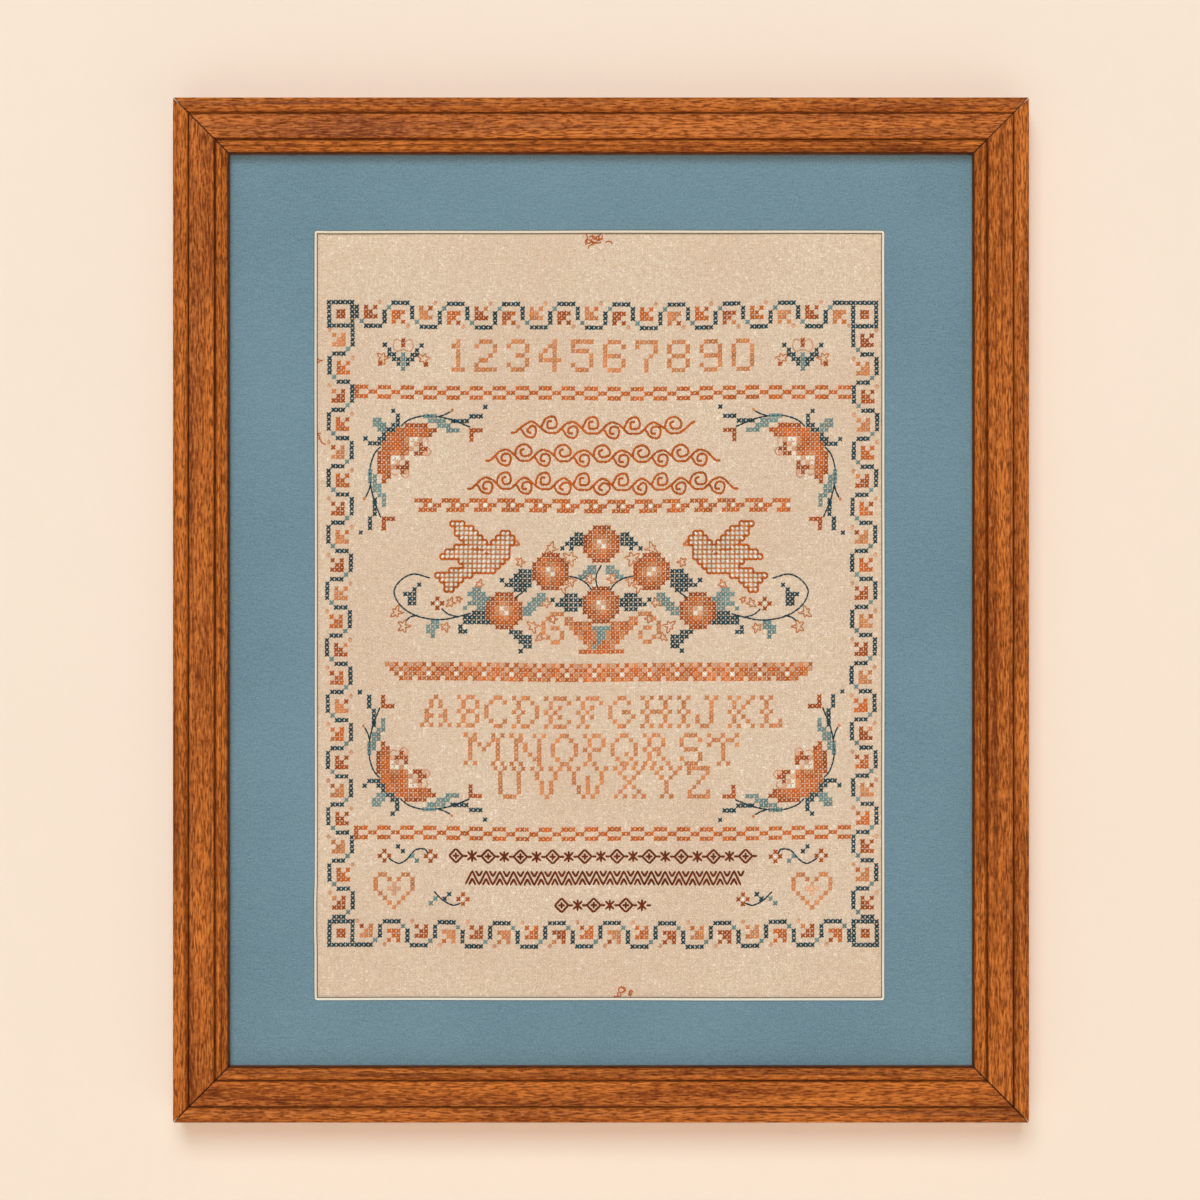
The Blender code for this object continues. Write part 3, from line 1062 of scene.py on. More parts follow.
def work_border():
    """The four running waves with their flowers, and the corner squares."""
    for edge, (length, phase_of, square_of) in enumerate(EDGES):
        for step in range(BAND, length - BAND):
            phase = phase_of(step) % REPEAT
            bay = (phase_of(step) // BAND + 3 * edge) % len(FLOWER_SHADES)
            petal, accent = FLOWER_SHADES[bay]
            for depth, line in enumerate(WAVE_REPEAT):
                letter = line[phase]
                column, row = square_of(step, depth)
                if letter == "o":
                    knot("P", column + HALF_SQUARE, row + HALF_SQUARE, 0.8)
                    backstitch("P", moved(PETAL_CURL, column, row), CURL_THICK)
                elif letter != ".":
                    work({"X": petal, "Y": accent}.get(letter, letter), column, row)
    for column in (0, COLUMNS - BAND):
        for row in (0, ROWS - BAND):
            work(CORNER_SQUARE, column, row)


work_border()
tally()

# %% [markdown]
# ## Numerals, alphabet and dividing bands
# Old samplers carry a plain row of numerals and an alphabet, and nothing is more generic. The
# letters have open serifs that stand one square off their stems. Between the parts run bands
# with a short repeat: two rust chains, a knotted band, and a lattice that narrows downwards.

# %% Numerals
NUMERALS = (
    # motif, first column
    (".X.|XX.|.X.|.X.|.X.|.X.|XXX", 27),
    (".XXX.|X...X|....X|...X.|.XX..|X....|XXXXX", 32),
    (".XXX.|X...X|....X|..XX.|....X|X...X|.XXX.", 39),
    ("...X.|..XX.|.X.X.|X..X.|XXXXX|...X.|...X.", 46),
    ("XXXXX|X....|XXXX.|....X|....X|X...X|.XXX.", 53),
    (".XXX.|X...X|X....|XXXX.|X...X|X...X|.XXX.", 60),
    ("XXXXX|X...X|....X|...X.|..X..|..X..|..X..", 67),
    (".XXX.|X...X|X...X|.XXX.|X...X|X...X|.XXX.", 74),
    (".XXX.|X...X|X...X|.XXXX|....X|X...X|.XXX.", 81),
    (".XXX.|X...X|X...X|X...X|X...X|X...X|.XXX.", 88),
)
NUMERAL_ROW = 8
for motif, column in NUMERALS:
    work(motif, column, NUMERAL_ROW, thread="C")
print("numerals:", len(NUMERALS))

# %% Alphabet
ALPHABET = {
    "A": "...X...|..X.X..|..X.X..|.X...X.|.XX.XX.|.X...X.|X.X.X.X",
    "B": "X.XX.|.X..X|.X..X|X.XX.|.X..X|.X..X|X.XX.",
    "C": "..XX.|.X..X|X....|X....|X....|.X..X|..XX.",
    "D": "X.XX..|.X..X.|.X...X|X.X..X|.X...X|.X..X.|X.XX..",
    "E": "X.XXX.|.X...X|.X.X..|X.X...|.X.X..|.X...X|X.XXX.",
    "F": "X.XXX.|.X...X|.X.X..|X.X...|.X.X..|.X....|X.X...",
    "G": "..XX..|.X..X.|X.....|X..XX.|X....X|.X..X.|..XX..",
    "H": "X.X.X.X|.X...X.|.X...X.|X.XXX.X|.X...X.|.X...X.|X.X.X.X",
    "I": "X.X|.X.|.X.|X.X|.X.|.X.|X.X",
    "J": "..X.X.|...X..|...X..|...X..|X..X..|X..X..|.XX...",
    "K": "X.X..X|.X..X.|.X.X..|X.X...|.X.X..|.X..X.|X.X..X",
    "L": "X.X..|.X...|.X...|X.X..|.X...|.X..X|X.XXX",
    "M": "X.X...X.X|.XX...XX.|.X.X.X.X.|.X..X..X.|.X.....X.|.X.....X.|X.X...X.X",
    "N": "X.X..X.X|.XX...X.|.X.X..X.|.X.X..X.|.X..X.X.|.X...XX.|X.X...X.",
    "O": "..XX..|.X..X.|X....X|X....X|X....X|.X..X.|..XX..",
    "P": "X.XX.|.X..X|.X..X|X.XX.|.X...|.X...|X.X..",
    "Q": "..XX..|.X..X.|X....X|X....X|X..X.X|.X..X.|..XX.X",
    "R": "X.XX...|.X..X..|.X..X..|X.XX...|.X.X...|.X..X..|X.X..X.",
    "S": ".XXX.|X...X|X....|.XXX.|....X|X...X|.XXX.",
    "T": "X..X..X|.XX.XX.|X..X..X|...X...|...X...|...X...|..X.X..",
    "U": "X.X.X.X|.X...X.|.X...X.|.X...X.|.X...X.|.X...X.|..XXX..",
    "V": "X.X.X.X|.X...X.|.X...X.|..X.X..|..X.X..|..X.X..|...X...",
    "W": "X.X...X.X|.X.....X.|.X..X..X.|.X..X..X.|..X.X.X..|..X.X.X..|...X.X...",
    "X": "X.X.X.X|.X...X.|..X.X..|...X...|..X.X..|.X...X.|X.X.X.X",
    "Y": "X.X.X.X|.X...X.|..X.X..|...X...|...X...|...X...|..X.X..",
    "Z": "XXXXX|X...X|...X.|..X..|.X...|X...X|XXXXX",
}
LETTER_ROWS = (
    # letters, first row of the chart
    ("ABCDEFGHIJKL", 84),
    ("MNOPQRST", 92),
    ("UVWXYZ", 99),
)


def work_letters(letters, row):
    """One centred line of the alphabet, with a square between letters."""
    widths = [ALPHABET[letter].index("|") for letter in letters]
    column = (COLUMNS - sum(widths) - len(letters) + 1) / 2
    for letter, width in zip(letters, widths):
        work(ALPHABET[letter], column, row, thread="C")
        column += width + 1


for letters, row in LETTER_ROWS:
    work_letters(letters, row)
print("letters:", sum(len(letters) for letters, _ in LETTER_ROWS))

# %% Dividing bands
CHAIN = ("XXX..", "...XX", "XXX..")
KNOTTED = ("XXXX..", "..X.XX", ".XXXX.")
LATTICE = ("CPR.RP", "RRPRPR", "RCRWRC", ".RCRCR")
CHAIN_ROWS = (18, 112)
KNOTTED_ROW = 42
KNOTTED_SPAN = (19, 101)
LATTICE_ROW = 77
LATTICE_INSET = 13


def repeat(pattern, first, last, row, thread=None):
    """A band with a short repeat, from one column up to another."""
    for down, line in enumerate(pattern):
        count = last - first
        line = (line * (count // len(line) + 1))[:count]
        work(line, first, row + down, thread=thread)


for row in CHAIN_ROWS:
    repeat(CHAIN, BAND, COLUMNS - BAND, row, "R")
    work("X", BAND, row + 1, thread="R")
repeat(KNOTTED, *KNOTTED_SPAN, KNOTTED_ROW, "R")
for column in range(KNOTTED_SPAN[0] + 3, KNOTTED_SPAN[1], len(KNOTTED[0])):
    knot("W", column + HALF_SQUARE, KNOTTED_ROW + 1.5, 1.1)
for down, line in enumerate(LATTICE):
    first = LATTICE_INSET + down
    repeat([line[down:] + line[:down]], first, COLUMNS - first, LATTICE_ROW + down)
tally()

# %% [markdown]
# ## Corner sprays and tulips
# Each corner holds a quarter rose with leaves and buds on two curved stems. The spray is
# alike on both sides of its diagonal, so only one branch is charted. Working it again with
# columns and rows changed over makes the other branch, and mirrors take the spray to all four
# corners.

# %% Corner sprays
SPRAY_BRANCH = (
    "...........................T",
    ".......T....................",
    "........T.....ttt.......TTT.",
    "...tt...T......tttt.TTTT....",
    "....tt.TT.DDDDD..ttt........",
    ".....tTTRRRRRRRRD..ttt..DDD.",
    "......RRRRRRRRRD........D...",
    ".......RRRCWWP..........D...",
    "........RRCWPD..............",
    ".........RRP.DD.............",
    "..........CWDDP.............",
)
SPRAY_COLUMN = 7
SPRAY_ROW = 22
SPRAY_FOLD = 133.0
SPRAY_STEMS = (
    # thread, route
    ("T", ((16.2, 26.8), (17.6, 25.5), (20.7, 24.5), (24.2, 24.6), (27.4, 25.3), (31.2, 26.8))),
    ("T", ((24.2, 24.6), (25.6, 24.2), (27.0, 23.5))),
    ("P", ((20.3, 29.3), (21.4, 28.9), (22.2, 29.6), (21.9, 30.5))),
    ("P", ((22.0, 31.2), (22.8, 32.0), (22.2, 32.9), (21.3, 32.9))),
    ("P", ((18.6, 30.2), (19.3, 29.4), (20.1, 29.8))),
)
STEM_THICK = 0.60
PETAL_THICK = 0.46
PETAL_REACH = 1.25


def spray_turned(column, row):
    """The spray's other branch: columns and rows changed over."""
    shift = SPRAY_ROW - SPRAY_COLUMN
    return row - shift, column + shift


def folded_down(way):
    """A way of working, mirrored to the lower corners."""
    def lower(column, row):
        column, row = way(column, row)
        return column, SPRAY_FOLD - row
    return lower


def spray_turned_across(column, row):
    """The other branch, mirrored left to right."""
    return across(*spray_turned(column, row))


UPPER_SPRAYS = (as_drawn, spray_turned, across, spray_turned_across)
SPRAYS = UPPER_SPRAYS + tuple(folded_down(way) for way in UPPER_SPRAYS)
work("|".join(SPRAY_BRANCH), SPRAY_COLUMN, SPRAY_ROW, SPRAYS)
for thread, route in SPRAY_STEMS:
    thick = STEM_THICK if thread == "T" else PETAL_THICK
    backstitch(thread, eased(route), thick, SPRAYS)
knot("C", 27.3, 23.2, 0.7, SPRAYS)
knot("W", 22.9, 30.9, 0.7, SPRAYS)
tally()

# %% Tulips
TULIP = "....D....|T...D...T|.T.....T.|.TT.t.TT.|..TTtTT..|...TtT...|....t...."
TULIP_MIDDLE = 16.5
TULIP_PETAL = ((0.0, 9.0), (1.5, 8.2), (2.2, 9.5), (1.6, 10.8), (0.0, 10.4))
TULIP_STEP = 0.8
BUD = "D"
PETALS_ROUND = 5
PETAL_POINTS = 20
PETAL_WOBBLE = 0.24
PETAL_NOTCH = 0.32


def petals(column, row, size):
    """A small open flower drawn as one looping line, on both sides."""
    loop = []
    for step in range(PETAL_POINTS + 1):
        angle = math.tau * step / PETAL_POINTS
        wobble = 1.0 + PETAL_WOBBLE * math.sin(2.6 * angle + 3.0 * column + 5.0 * row)
        lobe = 1.0 - PETAL_NOTCH + PETAL_NOTCH * math.cos(PETALS_ROUND * angle)
        reach = size * PETAL_REACH * wobble * lobe
        loop.append((column + reach * math.cos(angle), row + reach * math.sin(angle)))
    backstitch("C", loop, PETAL_THICK, BOTH)


work(TULIP, 12, 8, BOTH)
for bud_column, petals_column in ((11, 12.04), (21, 20.96)):
    work(BUD, bud_column, 13, BOTH)
    petals(petals_column, 12.3, 1.1)
for side in (-1, 1):
    petal = [(TULIP_MIDDLE + side * x, row) for x, row in TULIP_PETAL]
    backstitch("P", eased(petal, TULIP_STEP), PETAL_THICK, BOTH)
tally()

# %% [markdown]
# ## Basket, roses and doves
# The middle of the sampler is a basket of roses between two doves. Roses share one motif.
# Leaves are small charts of their own, worked on both sides. The doves are filled with short
# fat cream stitches inside a thin coral mesh, and outlined with backstitch. The outline is
# found by asking which squares have an empty neighbour, as a stitcher would do by eye.

# %% Roses, leaves and basket
ROSE = "..DDDD..|.DRRRRD.|DRRCCRRD|DRCWPCRD|DRCPWCRD|DRRCCRRD|.DRRRRD.|..DDDD.."
ROSES = (
    # column, row, ways
    (56, 47.5, HERE),
    (56, 60.5, HERE),
    (45, 53.5, BOTH),
    (35, 62, BOTH),
)
LEAVES = (
    # thread, column, row, motif
    ("T", 51, 49, "...XX|..XXX|.XXXX|X.X.."),
    ("t", 55, 56, "..XX|.XXX|XX.."),
    ("T", 49, 62, "...XXX.|X.XXXXX|.XXXXXX|...XXX."),
    ("T", 38, 57, "....XXXX|...XXXXX|X.XXXXXX|.XXXXXX.|...XXX.."),
    ("t", 43, 62, "...XX|..XXX|.XXX.|XXX..|XX..."),
    ("t", 30, 61, "..XX..|.XXXX.|..XXXX|.XXXXX|X..XXX"),
    ("T", 29, 66, "...XXXX|.XXXXXX|.XXXXXX|X......|XX....."),
    ("T", 40, 70, "XXX..|.XXXX|..XXX|...XX|..X.."),
    ("T", 17, 60, "...X|..X.|XXX.|.XX.|.XX."),
    ("t", 22, 68, ".XX|XXX|XX.|.X."),
)
BASKET = ("RCRRCRRCCRRCRRCR|.CRRCRRCCRRCRRC.|..RCRRCRRCRRCR..|...CRRCRRCRRC..."
          "|....RCRRRRCR....|.....CRRRRC.....|...RRRRRRRRRR...")
BASKET_LEAF = "tttt|tttt|.tt.|.tt.|.t..|t..."
HANDLE = "..XXX..|.X...XX|X......|X.XX...|X...X..|.X..X..|..XX..."


def work_leaves(leaves):
    """Leaves as rows of (thread, column, row, motif), on both sides."""
    for thread, column, row, motif in leaves:
        work(motif, column, row, BOTH, thread)


work_leaves(LEAVES)
work(BASKET, 52, 68)
work(BASKET_LEAF, 58, 68)
work(HANDLE, 47, 66, BOTH, "C")
for column, row, ways in ROSES:
    work(ROSE, column, row, ways)
tally()

# %% Doves
DOVE = (
    "...WWW............",
    "....WWWW..........",
    "....WWWWW.....WW..",
    ".....WWWWW...WWWW.",
    "......WWWWW.WWWWW.",
    "....WWWWWWWWWWWW..",
    "..WWWWWWWWWWWWWW..",
    ".WWWWWWWWWWWWWWW..",
    ".....WWWWWWWWWW...",
    "......WWWWWWWW....",
    "...WWWWWWWWWW.....",
    "WWWWWWWW..........",
    ".WWWWW............",
    "..WWW.............",
    "..WW..............",
)
DOVE_COLUMN = 24
DOVE_ROW = 47
OUTLINE_THICK = 0.92
FEATHER_THICK = 1.22
MESH_THICK = 0.44
BEAK_THICK = 0.80
FEATHER_LEANS = (0.18, 0.30, 0.44, 0.22, 0.62)


def outline(motif, column, row, thread, ways):
    """Backstitch round the worked squares of a motif."""
    worked = {(step, down) for down, line in enumerate(motif)
              for step, letter in enumerate(line) if letter != "."}
    sides = (((0, -1), (0, 0), (1, 0)), ((1, 0), (1, 0), (1, 1)),
             ((0, 1), (1, 1), (0, 1)), ((-1, 0), (0, 1), (0, 0)))
    for step, down in sorted(worked):
        for (right, below), start, end in sides:
            if (step + right, down + below) not in worked:
                route = ((column + step + start[0], row + down + start[1]),
                         (column + step + end[0], row + down + end[1]))
                backstitch(thread, route, OUTLINE_THICK, ways)


def work_feathers(motif, column, row, ways):
    """Fill a motif with short fat cream stitches inside a thin coral mesh."""
    for down, line in enumerate(motif):
        for step, letter in enumerate(line):
            if letter == "W":
                x, y = column + step, row + down
                lean = FEATHER_LEANS[(3 * step + 5 * down + step * down) % len(FEATHER_LEANS)]
                backstitch("W", [(x + lean, y + 0.82), (x + 1.0 - lean, y + 0.18)],
                           FEATHER_THICK, ways)
                backstitch("C", [(x + 1.0, y), (x, y), (x, y + 1.0)], MESH_THICK, ways)


work_feathers(DOVE, DOVE_COLUMN, DOVE_ROW, BOTH)
outline(DOVE, DOVE_COLUMN, DOVE_ROW, "R", BOTH)
WING_LINE = ((4, 5), (7, 5), (8, 6), (10, 6), (11, 7), (12, 6.2))
BEAK_LINE = ((17.0, 3.6), (18.3, 4.9), (17.0, 5.0))
for thread, line, thick in (("R", WING_LINE, OUTLINE_THICK), ("C", BEAK_LINE, BEAK_THICK)):
    backstitch(thread, moved(line, DOVE_COLUMN, DOVE_ROW), thick, BOTH)
knot("B", DOVE_COLUMN + 14.6, DOVE_ROW + 3.9, 0.5, BOTH)
tally()

# %% Stems and scattered blossoms
STEMS = (
    # routes, each smoothed and worked on both sides
    ((53.0, 58.4), (55.2, 58.9), (57.0, 60.0), (58.0, 61.4)),
    ((22.8, 59.1), (19.2, 58.2), (16.4, 59.6), (15.0, 61.9), (16.0, 64.4), (18.0, 66.2),
     (21.0, 67.5), (25.1, 68.0), (28.4, 67.5), (31.8, 66.6)),
    ((20.2, 67.0), (18.6, 67.4), (17.6, 68.3)),
    ((29.0, 67.4), (26.8, 66.8), (25.4, 65.6)),
    ((43.0, 62.0), (41.4, 63.2)),
)
BLOSSOMS = (
    # column, row, size
    (49.0, 52.6, 1.1), (53.2, 54.6, 1.3), (51.6, 60.6, 1.2), (53.5, 59.4, 0.9),
    (57.5, 59.0, 1.0), (48.0, 64.2, 0.9), (49.6, 67.6, 0.8), (45.2, 69.2, 1.1),
    (46.6, 71.6, 0.8), (33.6, 60.4, 0.8), (27.4, 64.4, 0.9), (26.2, 69.6, 0.9),
    (15.6, 66.4, 1.1), (17.2, 69.4, 1.2), (29.2, 63.6, 0.6), (42.4, 55.6, 0.9),
)
FLOWERET = ".D.|D.D|.D."
TOP_STEM = ((60.1, 56.0), (59.3, 57.3), (58.9, 59.0), (59.3, 61.0))


def work_stems(routes, ways=BOTH):
    """Curved teal stems."""
    for route in routes:
        backstitch("T", eased(route), STEM_THICK, ways)


def floweret(column, row):
    """A flower of four squares with a knot in its middle, on both sides."""
    work(FLOWERET, column, row, BOTH)
    knot("W", column + 1.5, row + 1.5, 0.8, BOTH)


work_stems(STEMS)
work_stems((TOP_STEM,), HERE)
for blossom in BLOSSOMS:
    petals(*blossom)
floweret(23, 63)
tally()

# %% [markdown]
# ## Scrolling vines and Holbein bands
# A sampler often carries a verse. This one has ornament there instead, of the same height,
# length and colour: three lines of rust vine under the numerals, and lines of dark brown
# Holbein work near the foot. The vine is a wave with a curl in each hollow, worked out with
# sines, and then moved to the nearest half square, because a needle only goes in between
# threads. The Holbein bands are short repeats of straight stitches.

# %% Vines
VINES = (
    # first column, last column, middle row
    (40.0, 80.0, 26.8),
    (34.5, 85.5, 32.8),
    (30.5, 89.5, 38.8),
)
VINE_REACH = 4.25
VINE_LIFT = 1.35
CURL_RADIUS = 1.85
CURL_TURNS = 1.3
CURL_POINTS = 13
CURL_TIGHTENS = 0.72
CURL_DROP = 0.75
VINE_THICK = 0.85
NEEDLE_STEP = 0.5


def to_holes(route):
    """Move a route to the nearest half squares, and drop stitches of no length."""
    holes = []
    for column, row in route:
        painted_hole_shade = (round(column / NEEDLE_STEP) * NEEDLE_STEP, round(row / NEEDLE_STEP) * NEEDLE_STEP)
        if not holes or painted_hole_shade != holes[-1]:
            holes.append(painted_hole_shade)
    return holes


def work_vine(first, last, middle):
    """A waving stem with a curl in each hollow."""
    count = round((last - first) / VINE_REACH)
    reach = (last - first) / count
    stem = []
    for step in range(count * 4 + 1):
        column = first + step * reach / 4
        stem.append((column, middle + VINE_LIFT * math.cos(math.pi * (column - first) / reach)))
    backstitch("R", to_holes(stem), VINE_THICK)
    for number in range(1, count):
        side = 1 if number % 2 else -1
        centre = (first + number * reach, middle + side * CURL_DROP)
        curl = [(centre[0] - reach * 0.5, middle)]
        for step in range(CURL_POINTS):
            share = step / (CURL_POINTS - 1)
            angle = math.pi - side * share * CURL_TURNS * math.tau
            radius = CURL_RADIUS * (1.0 - CURL_TIGHTENS * share)
            curl.append((centre[0] + radius * math.cos(angle),
                         centre[1] + radius * math.sin(angle)))
        backstitch("R", to_holes(curl), VINE_THICK)


for vine in VINES:
    work_vine(*vine)
tally()

# %% Holbein bands
LOZENGE = (
    ((0.0, 1.5), (1.5, 0.0), (3.0, 1.5), (1.5, 3.0), (0.0, 1.5)),
    ((1.5, 0.8), (1.5, 2.2)),
    ((0.8, 1.5), (2.2, 1.5)),
    ((3.0, 1.5), (4.0, 1.5)),
)
STAR = (
    ((1.0, 0.3), (1.0, 2.7)),
    ((0.0, 0.6), (2.0, 2.4)),
    ((2.0, 0.6), (0.0, 2.4)),
    ((2.0, 1.5), (3.0, 1.5)),
)
ZIGZAG = (
    ((0.0, 3.0), (1.5, 0.0), (3.0, 3.0)),
    ((0.8, 3.0), (1.5, 1.6), (2.2, 3.0)),
    ((2.3, 0.0), (3.0, 1.2), (3.7, 0.0)),
)
HOLBEIN_BANDS = (
    # first column, last column, top row, repeats of (motif, width)
    (26.5, 94.5, 116.8, ((LOZENGE, 4.0), (STAR, 3.0))),
    (30.0, 90.0, 121.4, ((ZIGZAG, 3.0),)),
    (49.5, 70.5, 127.2, ((LOZENGE, 4.0), (STAR, 3.0))),
)
HOLBEIN_THICK = 0.80
for first, last, top, repeats in HOLBEIN_BANDS:
    column = first
    turn = 0
    while column + repeats[turn % len(repeats)][1] <= last + 1.0:
        motif, width = repeats[turn % len(repeats)]
        for line in motif:
            backstitch("B", moved(line, column, top), HOLBEIN_THICK)
        column += width
        turn += 1
tally()

# %% Foot of the sampler
FOOT_FLOWERS = ((11, 117), (21, 117), (28, 126))
FOOT_LEAVES = (
    # thread, column, row, motif
    ("T", 15, 116, "X.|.X"),
    ("t", 18, 118, "X.|.X"),
    ("T", 25, 126, ".X|X."),
    ("t", 22, 127, ".X|X."),
)
FOOT_STEMS = (
    ((13.4, 119.0), (15.6, 120.2), (17.6, 119.0), (19.2, 117.2), (21.4, 117.0), (22.0, 118.0)),
    ((23.2, 126.0), (25.2, 127.9), (27.5, 128.9), (29.0, 128.4)),
)
HEART = ".XX...XX.|X..X.X..X|X...X...X|X.......X|.X.....X.|..X...X..|...X.X...|....X...."
HEART_MIDDLE = ".X.|XXX|.X."
for place in FOOT_FLOWERS:
    floweret(*place)
work_leaves(FOOT_LEAVES)
work_stems(FOOT_STEMS)
work(HEART, 10, 122, BOTH, "C")
work(HEART_MIDDLE, 13, 124, BOTH, "P")
tally()

# %% [markdown]
# ## Three kinds of stitch
# Every stitch is one of three shapes. A cross is two short legs of two-ply floss, the second
# lying over the first, with their ends sunk in the cloth. A backstitch is one straight strand
# that dips at both ends. A French knot is a small coil with a dimple. Each is a small closed
# mesh of a few dozen faces, with a UV map that runs along the strand for its twist, and all
# are drawn once and then repeated.

# %% Stitch shapes
PLY_SECTION = ((-0.50, 0.0), (-0.40, 0.42), (-0.20, 0.50), (0.0, 0.30),
               (0.20, 0.50), (0.40, 0.42), (0.50, 0.0), (0.0, -0.20))
ROUND_SECTION = tuple((0.5 * math.cos(math.tau * side / 6), 0.5 * math.sin(math.tau * side / 6))
                      for side in range(6))
LEG_WIDE = 0.69 * MM
LEG_HIGH = 0.44 * MM
LEG_STATIONS = (
    # along from -1 to 1, rise in millimetres, width
    (-1.0, -0.22, 0.45),
    (-0.55, 0.10, 1.0),
    (0.55, 0.10, 1.0),
    (1.0, -0.22, 0.45),
)
TOP_LEG_RISE = 0.26
STRAND_STATIONS = (
    # along from -0.5 to 0.5, rise, width
    (-0.52, -0.30, 0.7),
    (-0.36, 0.22, 1.0),
    (0.0, 0.34, 1.05),
    (0.36, 0.22, 1.0),
    (0.52, -0.30, 0.7),
)
TOWARDS_VIEWER = Vector((0, -1, 0))


def add_strand(bm, uv_layer, stations, section, wide, high):
    """One closed strand; stations hold (middle, side, width)."""
    rings = []
    run = [0.0]
    for (before, _, _), (middle, _, _) in zip(stations, stations[1:]):
        run.append(run[-1] + (middle - before).length / MM)
    for middle, side, width in stations:
        rings.append([
            bm.verts.new(middle + side * x * wide * width + TOWARDS_VIEWER * y * high * width)
            for x, y in section])
    count = len(section)
    for face, number, index in join_rings(bm, rings):
        paint_uv(face, uv_layer, (run[number], index / count),
                 (run[number + 1], (index + 1) / count))
    for ring in (rings[0], rings[-1]):
        bm.faces.new(ring)


def new_stitch():
    """An empty bmesh with a UV layer."""
    bm = bmesh.new()
    return bm, bm.loops.layers.uv.new("UVMap")


def finish_stitch(name, bm):
    """A stitch shape with its faces outwards, kept out of the picture."""
    bmesh.ops.recalc_face_normals(bm, faces=bm.faces[:])
    stitch = add_piece(name, bm, [])
    stitch.data.set_sharp_from_angle(angle=math.pi)
    stitch.hide_render = True
    return stitch


def cross_shape():
    """Two crossed legs in one square."""
    bm, uv_layer = new_stitch()
    for number, lean in enumerate((-1.0, 1.0)):
        corner = Vector((SQUARE_WIDE / 2, 0, lean * SQUARE_HIGH / 2))
        side = corner.normalized().cross(TOWARDS_VIEWER)
        stations = []
        for share, rise, width in LEG_STATIONS:
            lift = rise + (TOP_LEG_RISE * number if width == 1.0 else 0.0)
            stations.append((corner * share + TOWARDS_VIEWER * lift * MM, side, width))
        add_strand(bm, uv_layer, stations, PLY_SECTION, LEG_WIDE, LEG_HIGH)
    return finish_stitch("shape_cross", bm)


def backstitch_shape():
    """A strand one metre long and one millimetre thick, to be scaled to its stitch."""
    bm, uv_layer = new_stitch()
    stations = [(Vector((share, 0, 0)) + TOWARDS_VIEWER * rise * MM, Vector((0, 0, 1)), width)
                for share, rise, width in STRAND_STATIONS]
    add_strand(bm, uv_layer, stations, ROUND_SECTION, MM, MM)
    return finish_stitch("shape_backstitch", bm)


KNOT_AROUND = 10
KNOT_SIDES = 6
KNOT_RADIUS = 0.42 * MM
KNOT_THREAD = 0.36 * MM
KNOT_RUN = 0.3


def knot_shape():
    """A coil of thread as a low ring with a dimple in its middle."""
    bm, uv_layer = new_stitch()
    rings = []
    for step in range(KNOT_AROUND):
        angle = math.tau * step / KNOT_AROUND
        outward = Vector((math.cos(angle), 0, math.sin(angle)))
        ring = []
        for side in range(KNOT_SIDES):
            turn = math.tau * side / KNOT_SIDES
            reach = KNOT_RADIUS + KNOT_THREAD * math.cos(turn)
            lift = KNOT_THREAD * (0.8 + math.sin(turn))
            ring.append(bm.verts.new(outward * reach + TOWARDS_VIEWER * lift))
        rings.append(ring)
    for face, step, side in join_rings(bm, rings, closed=True):
        paint_uv(face, uv_layer, (step * KNOT_RUN, side / KNOT_SIDES),
                 ((step + 1) * KNOT_RUN, (side + 1) / KNOT_SIDES))
    return finish_stitch("shape_knot", bm)


SHAPES = {"cross": cross_shape(), "backstitch": backstitch_shape(), "knot": knot_shape()}
print("faces a stitch:", {name: len(shape.data.polygons) for name, shape in SHAPES.items()})

# %% [markdown]
# ## Floss
# Stranded cotton has a soft shine along its twist. No two stitches lie alike, so each one has
# its own number, called shade, which makes it a little lighter or darker. Fine stripes along
# the strand stand for the twisted plies: they bump the surface and are also painted lighter
# and darker, as painted shine and shade along the twist. The colour also drifts slowly over
# the cloth, as skeins of one colour differ and fade.

# %% Floss finish
TWIST_PITCH = 1.7
FLOSS_DEPTH = {"cream": 0.84}
PLAIN_DEPTH = 0.62


def make_floss(name, colour):
    """Stranded cotton in one colour."""
    floss = Finish("floss_" + name, {"Specular IOR Level": 0.10, "Roughness": 0.62})
    strand = floss.place("UV")
    # The twist stripes are painted shine and shade along the plies; the same stripes also bump the
    # surface.
    twist = (floss.axis(strand, "X") * TWIST_PITCH + floss.axis(strand, "Y") * 3.0).wave()
    shade = floss.attribute("shade")
    drift = floss.noise(floss.place(), scale=60.0, detail=2.0)
    depth = FLOSS_DEPTH.get(name, PLAIN_DEPTH)
    dark = tuple(part * depth for part in colour[:3]) + (1.0,)
    light = tuple(min(1.0, part * 1.28 + 0.012) for part in colour[:3]) + (1.0,)
    tone = shade * 0.28 + drift * 0.62 + twist * 0.10 + 0.05
    floss.feed("Base Color", floss.mix(tone.between(0.05, 0.95), dark, light))
    floss.relief(twist, 0.035 * MM, 0.6)
    return floss.material


FLOSS = {letter: make_floss(name, colour) for letter, (name, colour) in THREADS.items()}
print("floss:", [material.name for material in FLOSS.values()])

# %% [markdown]
# ## The sewing tree
# Thousands of stitches are best laid by Geometry Nodes: points hold where each stitch goes,
# how it is turned and how large it is, and one tree puts a stitch shape on every point. A
# small random sway and swell keep the rows from looking printed. The tree also gives each
# stitch its shade, makes the copies real and gives them their floss. One tree serves all
# three kinds of stitch and every colour.

# %% Build the sewing tree
def new_tree(name, **inputs):
    """A Geometry Nodes tree with those inputs and one output: its sheet and input node."""
    tree = bpy.data.node_groups.new(name, "GeometryNodeTree")
    for label, kind in inputs.items():
        tree.interface.new_socket(name=label, in_out="INPUT", socket_type="NodeSocket" + kind)
    tree.interface.new_socket(name="Made", in_out="OUTPUT", socket_type="NodeSocketGeometry")
    sheet = NodeSheet(tree)
    return sheet, sheet.node("NodeGroupInput")


